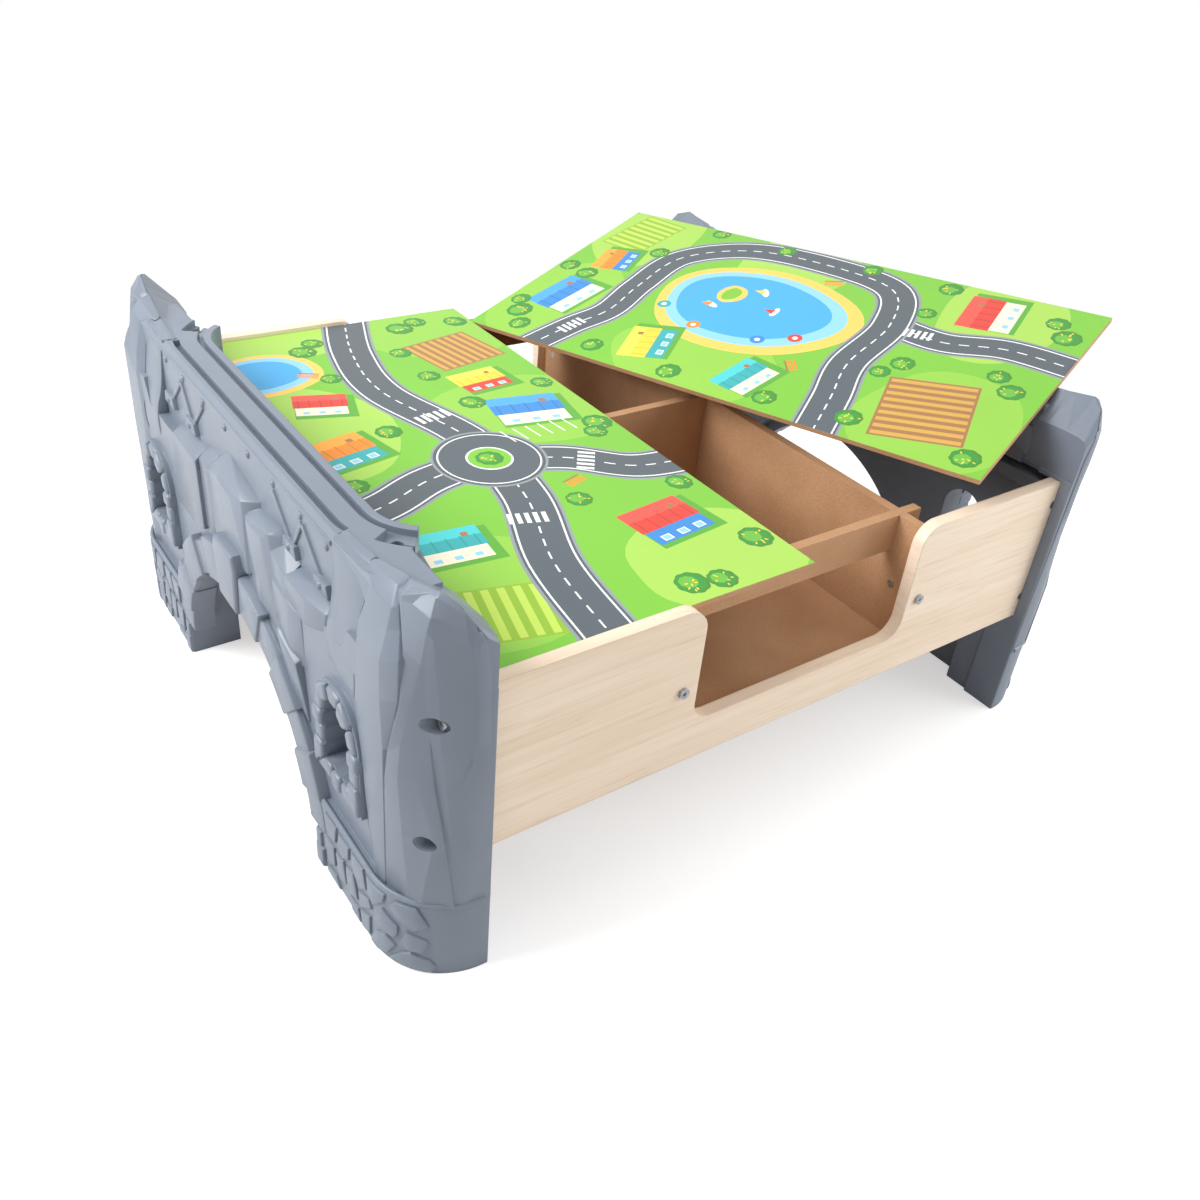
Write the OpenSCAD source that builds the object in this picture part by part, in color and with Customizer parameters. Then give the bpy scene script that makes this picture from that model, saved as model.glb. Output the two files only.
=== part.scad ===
// Play table for wooden trains: two moulded rock-bridge end panels carry two
// side panels; a chipboard bin frame between them holds up two loose play boards.
// Units are millimetres. +X runs along the table, +Z is up, the floor is z = 0.

/* [Table] */
// Clear length between the inner faces of the end panels
inner_length = 772; // [650:1:900]
// Depth over the outer faces of the side panels
panel_depth = 789; // [650:1:900]
// Height of the side panels' lower edge above the floor
panel_base = 147; // [120:1:180]
// Height of the side panels
panel_height = 192; // [180:1:220]
// Thickness of the side panels
panel_thickness = 15; // [12:0.5:18]
// Depth to which a side panel's end sits in an end panel
seat_depth = 13; // [10:0.5:16]

/* [Side panel cut-out] */
// Half width of the reach-in cut-out
cutout_half = 151; // [120:1:156]
// Height of the cut-out's floor above the panel's lower edge
cutout_floor = 50; // [40:1:70]
// Radius of the cut-out's lower corners
cutout_low_r = 24; // [10:1:30]
// Radius of the cut-out's upper corners
cutout_top_r = 26; // [10:1:30]

/* [Bin frame] */
// Set-back of a partition from the cut-out's edge
partition_set = 12.5; // [8:0.5:20]
// Thickness of the partitions, rails and divider
bin_thickness = 12; // [9:0.5:12]
// Height of the partitions' lower edge above the side panels' lower edge
partition_drop = 13; // [8:1:20]
// Distance from the top of the side panels down to the boards' seat
board_seat_drop = 11; // [11:0.5:14]
// Distance of a rail's middle plane from the side panel's inner face
rail_set = 39.5; // [36:0.5:60]
// Height of the rails
rail_height = 45; // [36:1:60]
// Overhang of the rails beyond the partitions
rail_over = 24; // [15:1:40]
// Height of the bin floor's upper face above the side panels' lower edge
floor_rise = 33; // [28:1:40]
// Thickness of the bin floor
floor_thickness = 6; // [4:0.5:8]
// Depth of the housings that hold the bin floor and the divider
housing_depth = 4; // [3:0.5:5]

/* [Play boards] */
// Reach of a play board's outer edge into the end panel's slot
board_reach = 20.5; // [16:0.5:22]
// Play between a play board's end and the side panel
board_play = 0.5; // [0.4:0.1:3]
// Thickness of a play board
board_thickness = 6; // [4:0.5:6]
// Gap between a board's inner edge and the table's middle plane
board_gap = 0.5; // [0.5:0.5:2]
// Turn of the lifted right board about the vertical
askew_turn = 17; // [14:0.5:19]
// Position of the lifted board's low corner along the table
askew_corner_x = 1.8; // [1.5:0.1:6]
// Position of the lifted board's low corner across the table, inside the back rail
askew_corner_in = 3.8; // [2:0.1:8]

/* [End panel] */
// Overlap of an end panel beyond the side panels' outer faces
end_cover = 14; // [13:0.5:18]
// Radius of the end panel's outer corners in plan
corner_r = 72; // [70:0.5:73]
// Depth of the flat cut on an outer corner, under its tower
facet_cut = 8; // [5:0.5:10]
// Direction the corner's flat cut faces, from the thickness
facet_turn = 48; // [44:1:54]
// Height at which the corner's flat cut starts to run in
facet_base = 190; // [185:1:205]
// Height over which the corner's flat cut runs in
facet_run = 80; // [60:1:95]
// Set-back of the inner wall between the two columns
wall_set = 24; // [24:0.5:26]
// Width of a column, across the table
column_width = 46; // [44:1:50]
// Radius of a column's free edge
column_r = 2; // [1:0.5:3]
// Thickness from the inner plane to the girder face
band_a = 64; // [62:0.5:66]
// Thickness from the inner plane to the rock face
rock_a = 76; // [74:0.5:78]
// Thickness from the inner plane to the plinth face
plinth_a = 84; // [82:0.5:86]
// Height of the plinth
plinth_height = 98; // [80:1:110]
// Height of the track deck above the lip over the boards
deck_rise = 72; // [68:1:78]
// Height of a tower's peak above the track deck
tower_height = 25; // [22:1:29]
// Height of the girder between the track deck and the lowest rock top
girder_height = 96; // [88:1:100]
// Height of the slot in which a board's outer edge lies
slot_height = 10; // [9.5:0.5:11]
// Thickness of the ledge under the slot
ledge_height = 30; // [20:1:36]
// Nominal wall of the hollow moulding
mould_wall = 4; // [3:0.5:5]

/* [Arch and windows] */
// Radius of the arch
arch_r = 200; // [180:1:205]
// Height of the arch's centre above the floor
arch_z = 27; // [15:1:35]
// Reach of the arch stones into the opening
ring_inset = 16; // [10:1:24]
// Cover of the arch stones over the face around the opening
ring_cover = 26; // [20:1:32]
// Number of arch stones, the keystone among them
stone_count = 11; // [9:2:13]
// Angle that the ring of stones spans
ring_span = 152; // [140:1:160]
// Gap between neighbouring stones at the ring's middle
stone_gap = 3; // [2:0.5:5]
// Thickness from the inner plane to the stones' faces
stone_a = 83; // [80:0.5:86]
// Thickness from the inner plane to the keystone's face
key_a = 90; // [86:0.5:94]
// Extra reach of the keystone beyond the ring
key_reach = 12; // [8:1:16]
// Distance of a window's middle from the arch's edge
window_set = 62; // [58:1:70]
// Width of a window
window_width = 58; // [50:1:62]
// Height of a window's sill above the floor
window_sill = 168; // [160:1:180]
// Height of a window, sill to crown
window_height = 86; // [76:1:92]
// Width of the stones that frame a window
frame_width = 19; // [14:1:22]
// Thickness from the inner plane to the window frame's face
frame_a = 82; // [80:0.5:84]

/* [Track] */
// Distance of the track's middle line from the inner plane
track_a = 38; // [37.5:0.5:38.5]
// Distance between the two wheel grooves
groove_pitch = 26; // [25:0.5:27]
// Width of a wheel groove
groove_width = 7; // [6:0.5:8]
// Depth of a wheel groove
groove_depth = 7; // [5:0.5:7]
// Width of the rim beside a groove
rim_width = 8; // [6:0.5:8]
// Half length of the straight track
track_straight = 205; // [195:1:210]
// Radius of the track's bend
bend_r = 80; // [76:1:84]
// Angle of the track's bend
bend_angle = 54; // [50:1:56]
// Angle at which the coupling socket starts
socket_angle = 32; // [30:1:34]
// Angle at which the outer groove runs into the rock
groove_end_angle = 14; // [10:1:18]
// Thickness of the bent track's bed
bed_thickness = 26; // [24:1:30]
// Radius of the coupling socket's bore
socket_r = 6.7; // [6:0.1:7.2]
// Depth of the coupling socket's bore
socket_depth = 14; // [10:0.5:16]
// Angle of the coupling socket's bore along the bend
socket_at = 43; // [42:0.5:44]
// Width of the coupling socket's neck
neck_width = 6; // [5:0.5:7]

/* [Fasteners] */
// Radius of a bolt's shank
bolt_r = 3; // [2.5:0.5:3]
// Radius of a bolt's head
head_r = 6; // [5:0.5:6.5]
// Height of a bolt's head
head_h = 3.2; // [2:0.2:4]
// Radius over the corners of the hexagon key hole in a head
key_r = 2.3; // [1.8:0.1:2.6]
// Depth of the hexagon key hole
key_depth = 2; // [1:0.2:2]
// Play around a bolt in its hole
bolt_play = 0.3; // [0.2:0.05:0.4]
// Radius of a barrel nut
nut_r = 5; // [4.5:0.5:5.5]
// Play around a barrel nut in its hole
nut_play = 0.05; // [0.05:0.05:0.2]
// Height of the lower end bolts above the side panels' lower edge
bolt_low = 29; // [22:1:34]
// Height of the upper end bolts above the side panels' lower edge
bolt_high = 162; // [150:1:166]
// Height of the partition bolts above the side panels' lower edge
bolt_mid = 96; // [86:1:106]
// Set-back of a partition's barrel nut from the side panel's outer face
nut_set = 36; // [30:1:40]
// Depth of an end bolt's pocket floor, from the inner plane
pocket_a = 39; // [34:0.5:42]
// Radius of an end bolt's pocket
pocket_r = 8.5; // [8:0.5:9]

/* [Hidden] */
$fn = 64;
// overrun of every cut beyond the face it leaves
over = 1;
// play of a panel in its seat, on each side
seat_play = 0.2;
// play of a lapped joint, on each side
lap_play = 0.1;
// overrun of a cut past the end of the bend, in degrees
over_turn = 1;
// distance of the slot's back in front of the inner wall
slot_back = 1;
// length of thread past a barrel nut
thread_past = 2;
// rise and set-back of the deck's outer edge
edge_chamfer = 5;
// height of the upright sill over the slot
sill_rise = 12;
// rise of the towers' foot above the lip
tower_foot = 6;
// play under the lifted board
rest_play = 0.3;

half_in = inner_length / 2;
panel_out = panel_depth / 2;
panel_in = panel_out - panel_thickness;
panel_mid = panel_out - panel_thickness / 2;
panel_top = panel_base + panel_height;
seat_z = panel_top - board_seat_drop;
partition_base = panel_base + partition_drop;
floor_top = panel_base + floor_rise;
floor_base = floor_top - floor_thickness;
partition_in = cutout_half + partition_set;
partition_x = partition_in + bin_thickness / 2;
partition_out = partition_in + bin_thickness;
rail_y = panel_in - rail_set;
rail_half = partition_out + rail_over;
lap_depth = rail_height / 2;
board_width = half_in + board_reach - board_gap;
board_length = 2 * (panel_in - board_play);
end_half = panel_out + end_cover;
corner_y = end_half - corner_r;
corner_a = rock_a - corner_r;
column_y = end_half - column_width;
lip_z = seat_z + slot_height;
deck_z = lip_z + deck_rise;
slot_a = wall_set - slot_back;
groove_floor = deck_z - groove_depth;
rim_a = track_a - groove_pitch / 2 - groove_width / 2 - rim_width;
bend_a = track_a - bend_r;
ring_in_r = arch_r - ring_inset;
ring_out_r = arch_r + ring_cover;
window_y = arch_r + window_set;
window_half = window_width / 2;
window_top = window_sill + window_height;
bolt_zs = [panel_base + bolt_low, panel_base + bolt_high];
mid_z = panel_base + bolt_mid;
nut_y = panel_out - nut_set;
end_hole_r = bolt_r + bolt_play;
nut_hole_r = nut_r + nut_play;
// how far a bolt's shank runs on past the middle of its barrel nut
bolt_past = nut_r + thread_past;

// Tower sections from the deck's end to the corner: y as a share of the end's half depth, then
// the inner edge, the ridge and the outer edge, each as a share of the rock's thickness and a
// share of the tower's height above the deck
tower_shares = [[0.568, 0.579, 0, 0.63, 0.04, 0.82, 0],
                [0.703, 0.27, -0.3, 0.605, 0.12, 0.8, 0],
                [0.83, 0.03, -0.54, 0.553, 0.56, 0.717, 0.34],
                [0.862, 0.026, -0.5, 0.546, 0.72, 0.763, 0.48],
                [0.93, 0.02, -0.42, 0.5, 1, 0.632, 0.14],
                [0.969, 0.03, -0.46, 0.388, 0.72, 0.441, -0.04],
                [0.99, 0.03, -0.54, 0.263, 0.08, 0.342, -0.24],
                [1, 0.02, -0.76, 0.158, -0.4, 0.27, -0.56]];

// Outline of the rock face's top: shares of the corner's y and of the girder's height
rock_top_shares = [[1, 0.65], [0.84, 0.65], [0.8, 0.92], [0.67, 0.92], [0.66, 0.833], [0.565, 0.854],
                   [0.43, 0.885], [0.42, 0.958], [0.32, 0.875], [0.31, 0.677], [0.28, 0.781],
                   [0.13, 0.813], [0.125, 0.646], [0.07, 0.708], [-0.04, 0.667], [-0.19, 0.833],
                   [-0.255, 0.854], [-0.335, 1], [-0.52, 0.938], [-0.635, 0.958], [-0.8, 0.92],
                   [-0.84, 0.65], [-1, 0.65]];

// A box between two opposite corners
module box(lo, hi) {
  translate(lo) cube(hi - lo);
}

// A cylinder along X between two positions
module bar_x(from, to, y, z, r) {
  translate([from, y, z]) rotate([0, 90, 0]) cylinder(h = to - from, r = r);
}

// A cylinder along Y between two positions
module bar_y(x, from, to, z, r) {
  translate([x, from, z]) rotate([-90, 0, 0]) cylinder(h = to - from, r = r);
}

// A profile in thickness and height, run across the table
module run_y(points, half) {
  translate([0, half, 0]) rotate([90, 0, 0]) linear_extrude(height = 2 * half) polygon(points);
}

// An outline in depth and height, raised between two thicknesses
module raise_x(points, from, to) {
  translate([from, 0, 0]) rotate([90, 0, 90]) linear_extrude(height = to - from) polygon(points);
}

// Both ends of something that is alike at +Y and -Y
module both_y() {
  children();
  mirror([0, 1, 0]) children();
}

// Right end panel in its own frame: X is the thickness from the inner plane

module corner_quarter(r, height) {
  mid_y = end_half - r;
  intersection() {
    translate([corner_a, mid_y, 0]) cylinder(h = height, r = r);
    box([corner_a, mid_y, 0], [corner_a + r + over, end_half, height]);
  }
}

// The cut that leaves a flat face on an outer corner, running in from its base
module corner_facet() {
  near = corner_r - facet_cut;
  far = corner_r + plinth_a;
  top = deck_z + tower_height + over;
  translate([corner_a, corner_y, 0]) rotate([0, 0, facet_turn]) rotate([90, 0, 0])
    linear_extrude(height = 2 * corner_r, center = true)
      polygon([[near, facet_base + facet_run], [corner_r, facet_base], [far, facet_base],
               [far, top], [near, top]]);
}

module column() {
  top = lip_z + tower_foot;
  r = min(column_r, corner_a / 2);
  box([0, column_y, 0], [corner_a + over, end_half - r, top]);
  box([r, end_half - r - over, 0], [corner_a + over, end_half, top]);
  translate([r, end_half - r, 0]) cylinder(h = top, r = r);
}

function tower_section(row) =
  let (y = row[0] * end_half, foot = lip_z + tower_foot - over)
  [[row[1] * rock_a, y, foot],
   [row[1] * rock_a, y, deck_z + row[2] * tower_height],
   [row[3] * rock_a, y, deck_z + row[4] * tower_height],
   [row[5] * rock_a, y, deck_z + row[6] * tower_height],
   [row[5] * rock_a, y, foot]];

module tower() {
  rows = len(tower_shares);
  n = 5;
  points = [for (row = tower_shares) each tower_section(row)];
  sides = [for (i = [0:rows - 2], j = [0:n - 1])
    let (a = i * n + j, b = i * n + (j + 1) % n, c = a + n, d = b + n) each [[a, c, b], [b, c, d]]];
  first = [[for (j = [0:n - 1]) j]];
  last = [[for (j = [n - 1:-1:0]) (rows - 1) * n + j]];
  polyhedron(points = points, faces = concat(sides, first, last));
}

module beam() {
  run_y([[0, lip_z], [0, lip_z + sill_rise], [rim_a, deck_z - groove_depth], [rim_a, deck_z],
         [band_a - edge_chamfer, deck_z], [band_a, deck_z - edge_chamfer], [band_a, lip_z - over],
         [wall_set, lip_z - over], [wall_set, lip_z]], corner_y);
}

module ledge() {
  run_y([[wall_set + over, seat_z - ledge_height], [wall_set, seat_z - ledge_height],
         [0, seat_z - ledge_height / 2], [0, seat_z], [wall_set + over, seat_z]], column_y + over);
}

module rock_face() {
  raise_x(concat([[-corner_y, 0], [corner_y, 0]],
                 [for (p = rock_top_shares) [p[0] * corner_y, deck_z - p[1] * girder_height]]),
          wall_set + mould_wall, rock_a);
}

module plinth() {
  r = plinth_a - corner_a;
  box([wall_set, r - end_half, 0], [plinth_a, end_half - r, plinth_height]);
  both_y() corner_quarter(r, plinth_height);
}

module window_prism(grow, from, to) {
  half = window_half + grow;
  bar_x(from, to, window_y, window_top - window_half, half);
  box([from, window_y - half, window_sill - grow], [to, window_y + half, window_top - window_half]);
}

module track_bed() {
  translate([bend_a, track_straight, deck_z - bed_thickness])
    rotate_extrude(angle = bend_angle)
      translate([bend_r - track_a + rim_a, 0]) square([2 * (track_a - rim_a) - rim_width, bed_thickness]);
}

// The moulded foot that carries the bent bed down to the inner wall
module bed_foot() {
  reach = bend_r - track_a + rim_a;
  tip = [bend_a + reach * cos(bend_angle), track_straight + reach * sin(bend_angle)];
  low_y = [track_straight + bed_thickness / 2, end_half * tower_shares[2][0]];
  hull() {
    translate([0, 0, deck_z - bed_thickness]) linear_extrude(height = over)
      polygon([tip, [rim_a, track_straight], [corner_a, track_straight], [corner_a, low_y[1]]]);
    box([0, low_y[0], lip_z + sill_rise], [corner_a, low_y[1], lip_z + sill_rise + over]);
  }
}

module bend_cut(r, width, from, to) {
  translate([bend_a, track_straight, groove_floor]) rotate([0, 0, from])
    rotate_extrude(angle = to - from) translate([r - width / 2, 0]) square([width, groove_depth + over]);
}

module grooves() {
  for (side = [-1, 1]) {
    mid = track_a + side * groove_pitch / 2;
    box([mid - groove_width / 2, -track_straight, groove_floor],
        [mid + groove_width / 2, track_straight, deck_z + over]);
  }
  both_y() {
    bend_cut(bend_r - groove_pitch / 2, groove_width, 0, bend_angle + over_turn);
    bend_cut(bend_r + groove_pitch / 2, groove_width, 0, groove_end_angle);
    bend_cut(bend_r, groove_pitch - groove_width + over, socket_angle, bend_angle + over_turn);
    socket();
  }
}

module socket() {
  neck = bend_r * (bend_angle - socket_at) * PI / 180 + neck_width;
  translate([bend_a, track_straight, groove_floor - socket_depth]) rotate([0, 0, socket_at])
    translate([bend_r, 0, 0]) {
      cylinder(h = socket_depth + over, r = socket_r);
      box([-neck_width / 2, 0, 0], [neck_width / 2, neck, socket_depth + over]);
    }
}

module seats() {
  both_y() {
    box([-over, panel_in - seat_play, panel_base - seat_play],
        [seat_depth, panel_out + seat_play, panel_top + seat_play]);
    for (z = bolt_zs) {
      bar_x(seat_depth - over, pocket_a + over, panel_mid, z, end_hole_r);
      bar_x(pocket_a, plinth_a, panel_mid, z, pocket_r);
    }
  }
}

// A quarter of the corner's hollow between two heights
module corner_hollow(from, to, reach) {
  translate([0, 0, from]) intersection() {
    translate([corner_a, corner_y, 0]) cylinder(h = to - from, r = corner_r - facet_cut - mould_wall);
    box([wall_set + mould_wall, corner_y - over, -over], [rock_a, reach, to - from + over]);
  }
}

// Sealed hollows of the moulding
module hollows() {
  w = mould_wall;
  low_top = deck_z - girder_height - w;
  box([wall_set + w, w - arch_r, arch_z + arch_r + 2 * w], [rock_a - w, arch_r - w, low_top]);
  box([wall_set + w, w - arch_r, low_top - over], [band_a - w, arch_r - w, lip_z - w]);
  box([rim_a + w, -track_straight, lip_z + w], [band_a - w, track_straight, groove_floor - w]);
  both_y() {
    leg_in = arch_r + 2 * w;
    box([wall_set + w, leg_in, w], [rock_a - w, corner_y, window_sill - w]);
    box([wall_set + w, window_y + window_half + w, w], [rock_a - w, corner_y, lip_z - w]);
    box([wall_set + w, leg_in, window_top + w], [band_a - w, corner_y, lip_z - w]);
    box([wall_set + w, window_y - window_half + w, lip_z + w],
        [band_a - w, corner_y - 2 * w, groove_floor - 2 * w]);
    corner_hollow(w, lip_z - w, panel_in - seat_play - w);
    corner_hollow(w, panel_base - seat_play - w, end_half);
    corner_hollow(bolt_zs[0] + pocket_r + w, bolt_zs[1] - pocket_r - w, end_half);
  }
}

module arch_stones() {
  step = ring_span / stone_count;
  for (i = [0:stone_count - 1]) {
    key = i == (stone_count - 1) / 2;
    mid = 90 + (i - (stone_count - 1) / 2) * step;
    half = step / 2 - (key ? 0 : stone_gap / ring_out_r * 90 / PI);
    low = ring_in_r - (key ? key_reach / 2 : 0);
    high = ring_out_r + (key ? key_reach : 0);
    raise_x([for (p = [[low, -half], [high, -half], [high, half], [low, half]])
              [p[0] * cos(mid + p[1]), arch_z + p[0] * sin(mid + p[1])]],
            band_a - mould_wall, key ? key_a : stone_a - (i % 2) * stone_gap);
  }
}

module end_panel() {
  translate([half_in, 0, 0]) {
    difference() {
      union() {
        box([wall_set, -corner_y, 0], [band_a, corner_y, lip_z]);
        beam();
        ledge();
        rock_face();
        plinth();
        both_y() {
          corner_quarter(corner_r, lip_z + tower_foot);
          column();
          tower();
          track_bed();
          bed_foot();
          window_prism(frame_width, band_a - mould_wall, frame_a);
        }
      }
      bar_x(-over, plinth_a + over, 0, arch_z, arch_r);
      box([-over, -arch_r, -over], [plinth_a + over, arch_r, arch_z]);
      both_y() window_prism(0, -over, frame_a + over);
      box([-over, -panel_in, seat_z], [slot_a, panel_in, lip_z]);
      grooves();
      seats();
      both_y() corner_facet();
      hollows();
    }
    arch_stones();
  }
}

module left_end_panel() {
  color([0.55, 0.59, 0.64]) rotate([0, 0, 180]) end_panel();
}

module right_end_panel() {
  color([0.55, 0.59, 0.64]) end_panel();
}

// Side panels, drawn at the front and mirrored to the back

module cutout() {
  low = panel_base + cutout_floor;
  far = -panel_in + over;
  near = -panel_out - over;
  box([-cutout_half, near, low + cutout_low_r], [cutout_half, far, panel_top + over]);
  box([cutout_low_r - cutout_half, near, low], [cutout_half - cutout_low_r, far, panel_top]);
  for (side = [-1, 1]) {
    bar_y(side * (cutout_half - cutout_low_r), near, far, low + cutout_low_r, cutout_low_r);
    difference() {
      box([side * cutout_half - cutout_top_r, near, panel_top - cutout_top_r],
          [side * cutout_half + cutout_top_r, far, panel_top + over]);
      bar_y(side * (cutout_half + cutout_top_r), near - over, far + over,
            panel_top - cutout_top_r, cutout_top_r);
    }
  }
}

module side_panel() {
  end_x = half_in + seat_depth;
  difference() {
    box([-end_x, -panel_out, panel_base], [end_x, -panel_in, panel_top]);
    cutout();
    for (side = [-1, 1]) {
      bar_y(side * partition_x, -panel_out - over, -panel_in + over, mid_z, end_hole_r);
      for (z = bolt_zs) {
        bar_y(side * half_in, -panel_out - over, -panel_in + over, z, nut_hole_r);
        bar_x(side > 0 ? half_in - bolt_past - over : -end_x - over,
              side > 0 ? end_x + over : bolt_past + over - half_in,
              -panel_mid, z, end_hole_r);
      }
    }
    box([-partition_in, -panel_in - housing_depth, floor_base - lap_play],
        [partition_in, -panel_in + over, floor_top + lap_play]);
  }
}

module front_side_panel() {
  color([0.92, 0.83, 0.71]) side_panel();
}

module back_side_panel() {
  color([0.92, 0.83, 0.71]) mirror([0, 1, 0]) side_panel();
}

// Bin frame

module partition() {
  difference() {
    box([partition_in, -panel_in, partition_base], [partition_out, panel_in, seat_z]);
    for (side = [-1, 1]) {
      box([partition_in - over, side * rail_y - bin_thickness / 2 - lap_play, seat_z - lap_depth],
          [partition_out + over, side * rail_y + bin_thickness / 2 + lap_play, seat_z + over]);
      bar_x(partition_in - over, partition_out + over, side * nut_y, mid_z, nut_hole_r);
      bar_y(partition_x, side > 0 ? nut_y - bolt_past - over : -panel_in - over,
            side > 0 ? panel_in + over : bolt_past + over - nut_y, mid_z, end_hole_r);
    }
    box([partition_in - over, -panel_in - over, floor_base - lap_play],
        [partition_in + housing_depth, panel_in + over, floor_top + lap_play]);
    box([partition_in - over, -bin_thickness / 2 - lap_play, floor_top],
        [partition_in + housing_depth, bin_thickness / 2 + lap_play, seat_z + over]);
  }
}

module left_partition() {
  color([0.62, 0.45, 0.31]) mirror([1, 0, 0]) partition();
}

module right_partition() {
  color([0.62, 0.45, 0.31]) partition();
}

module rail() {
  difference() {
    box([-rail_half, -rail_y - bin_thickness / 2, seat_z - rail_height],
        [rail_half, -rail_y + bin_thickness / 2, seat_z]);
    for (side = [-1, 1])
      box([side * partition_x - bin_thickness / 2 - lap_play, -rail_y - bin_thickness,
           seat_z - rail_height - over],
          [side * partition_x + bin_thickness / 2 + lap_play, -rail_y + bin_thickness,
           seat_z - lap_depth]);
  }
}

module front_rail() {
  color([0.66, 0.49, 0.34]) rail();
}

module back_rail() {
  color([0.66, 0.49, 0.34]) mirror([0, 1, 0]) rail();
}

module centre_divider() {
  end_x = partition_in + housing_depth - lap_play;
  color([0.62, 0.45, 0.31])
    box([-end_x, -bin_thickness / 2, floor_top + lap_play], [end_x, bin_thickness / 2, seat_z]);
}

module bin_floor() {
  end_x = partition_in + housing_depth - lap_play;
  end_y = panel_in + housing_depth - lap_play;
  color([0.6, 0.43, 0.3]) difference() {
    box([-end_x, -end_y, floor_base], [end_x, end_y, floor_top]);
    for (sx = [-1, 1], sy = [-1, 1])
      box([sx > 0 ? partition_in - lap_play : -end_x - over,
           sy > 0 ? panel_in - lap_play : -end_y - over, floor_base - over],
          [sx > 0 ? end_x + over : lap_play - partition_in,
           sy > 0 ? end_y + over : lap_play - panel_in, floor_top + over]);
  }
}

// Play boards: the left one lies in its seat, the right one is lifted out askew

module left_play_board() {
  color([0.45, 0.7, 0.3])
    box([-board_gap - board_width, -board_length / 2, seat_z],
        [-board_gap, board_length / 2, seat_z + board_thickness]);
}

// Points that carry the lifted board: back rail, near tower ridge, far tower slope
near_share = 0.8;
far_share = 0.93;
function mix(a, b, s) = a + (b - a) * s;
function unit(v) = v / norm(v);
ridge_a = mix(tower_shares[1][3], tower_shares[2][3], near_share) * rock_a;
ridge_z = deck_z + mix(tower_shares[1][4], tower_shares[2][4], near_share) * tower_height;
near_y = -mix(tower_shares[1][0], tower_shares[2][0], near_share) * end_half;
slope_a = mix(tower_shares[2][1], tower_shares[2][3], far_share) * rock_a;
slope_z = deck_z + mix(tower_shares[2][2], tower_shares[2][4], far_share) * tower_height;
rail_rest = [askew_corner_x + 2 * askew_corner_in, rail_y - bin_thickness / 2 + lap_play,
             seat_z + rest_play];
near_rest = [half_in + ridge_a, near_y, ridge_z + rest_play];
far_rest = [half_in + slope_a, tower_shares[2][0] * end_half, slope_z + rest_play];
askew_n = unit(cross(near_rest - rail_rest, far_rest - rail_rest));
askew_d = [cos(askew_turn), sin(askew_turn), 0];
askew_u = unit(askew_d - (askew_d * askew_n) * askew_n);
askew_v = cross(askew_n, askew_u);
askew_y = rail_y - bin_thickness / 2 - askew_corner_in;
askew_fall = [askew_n[0] * (askew_corner_x - rail_rest[0]), askew_n[1] * (askew_y - rail_rest[1])];
askew_z = rail_rest[2] - (askew_fall[0] + askew_fall[1]) / askew_n[2];
askew_frame = [[askew_u[0], askew_v[0], askew_n[0], askew_corner_x],
               [askew_u[1], askew_v[1], askew_n[1], askew_y],
               [askew_u[2], askew_v[2], askew_n[2], askew_z], [0, 0, 0, 1]];

module right_play_board() {
  color([0.45, 0.7, 0.3]) multmatrix(askew_frame)
    box([0, -board_length, 0], [board_width, 0, board_thickness]);
}

// Fasteners

// A bolt along +Z whose head stands on z = 0
module bolt(shank) {
  difference() {
    union() {
      cylinder(h = head_h, r = head_r);
      translate([0, 0, -shank]) cylinder(h = shank + head_h / 2, r = bolt_r);
    }
    translate([0, 0, head_h - key_depth]) cylinder(h = key_depth + over, r = key_r, $fn = 6);
  }
}

// A barrel nut along Z about its middle, its thread across X
module barrel_nut(length) {
  difference() {
    translate([0, 0, -length / 2]) cylinder(h = length, r = nut_r);
    bar_x(-nut_r - over, nut_r + over, 0, 0, bolt_r + nut_play);
  }
}

module end_bolts() {
  color([0.72, 0.72, 0.74])
    for (sx = [-1, 1], sy = [-1, 1], z = bolt_zs)
      translate([sx * (half_in + pocket_a), sy * panel_mid, z]) rotate([0, sx * 90, 0])
        bolt(pocket_a + bolt_past);
}

module end_barrel_nuts() {
  color([0.5, 0.5, 0.52])
    for (sx = [-1, 1], sy = [-1, 1], z = bolt_zs)
      translate([sx * half_in, sy * panel_mid, z]) rotate([90, 0, 0])
        barrel_nut(panel_thickness - 2 * bolt_play);
}

module partition_bolts() {
  color([0.78, 0.78, 0.8])
    for (sx = [-1, 1], sy = [-1, 1])
      translate([sx * partition_x, sy * panel_out, mid_z]) rotate([-sy * 90, 0, 0])
        bolt(nut_set + bolt_past);
}

module partition_barrel_nuts() {
  color([0.6, 0.6, 0.62])
    for (sx = [-1, 1], sy = [-1, 1])
      translate([sx * partition_x, sy * nut_y, mid_z]) rotate([0, 90, 0]) rotate([0, 0, 90])
        barrel_nut(bin_thickness);
}

left_end_panel();
right_end_panel();
front_side_panel();
back_side_panel();
left_partition();
right_partition();
front_rail();
back_rail();
centre_divider();
bin_floor();
left_play_board();
right_play_board();
end_bolts();
end_barrel_nuts();
partition_bolts();
partition_barrel_nuts();
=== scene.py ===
"""Looks of the play table: rock-bridge end panels, laminate sides, bin frame and printed boards."""

import math

import bmesh
import bpy
import numpy as np
from mathutils import Matrix, Vector
from mathutils.geometry import delaunay_2d_cdt


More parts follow.
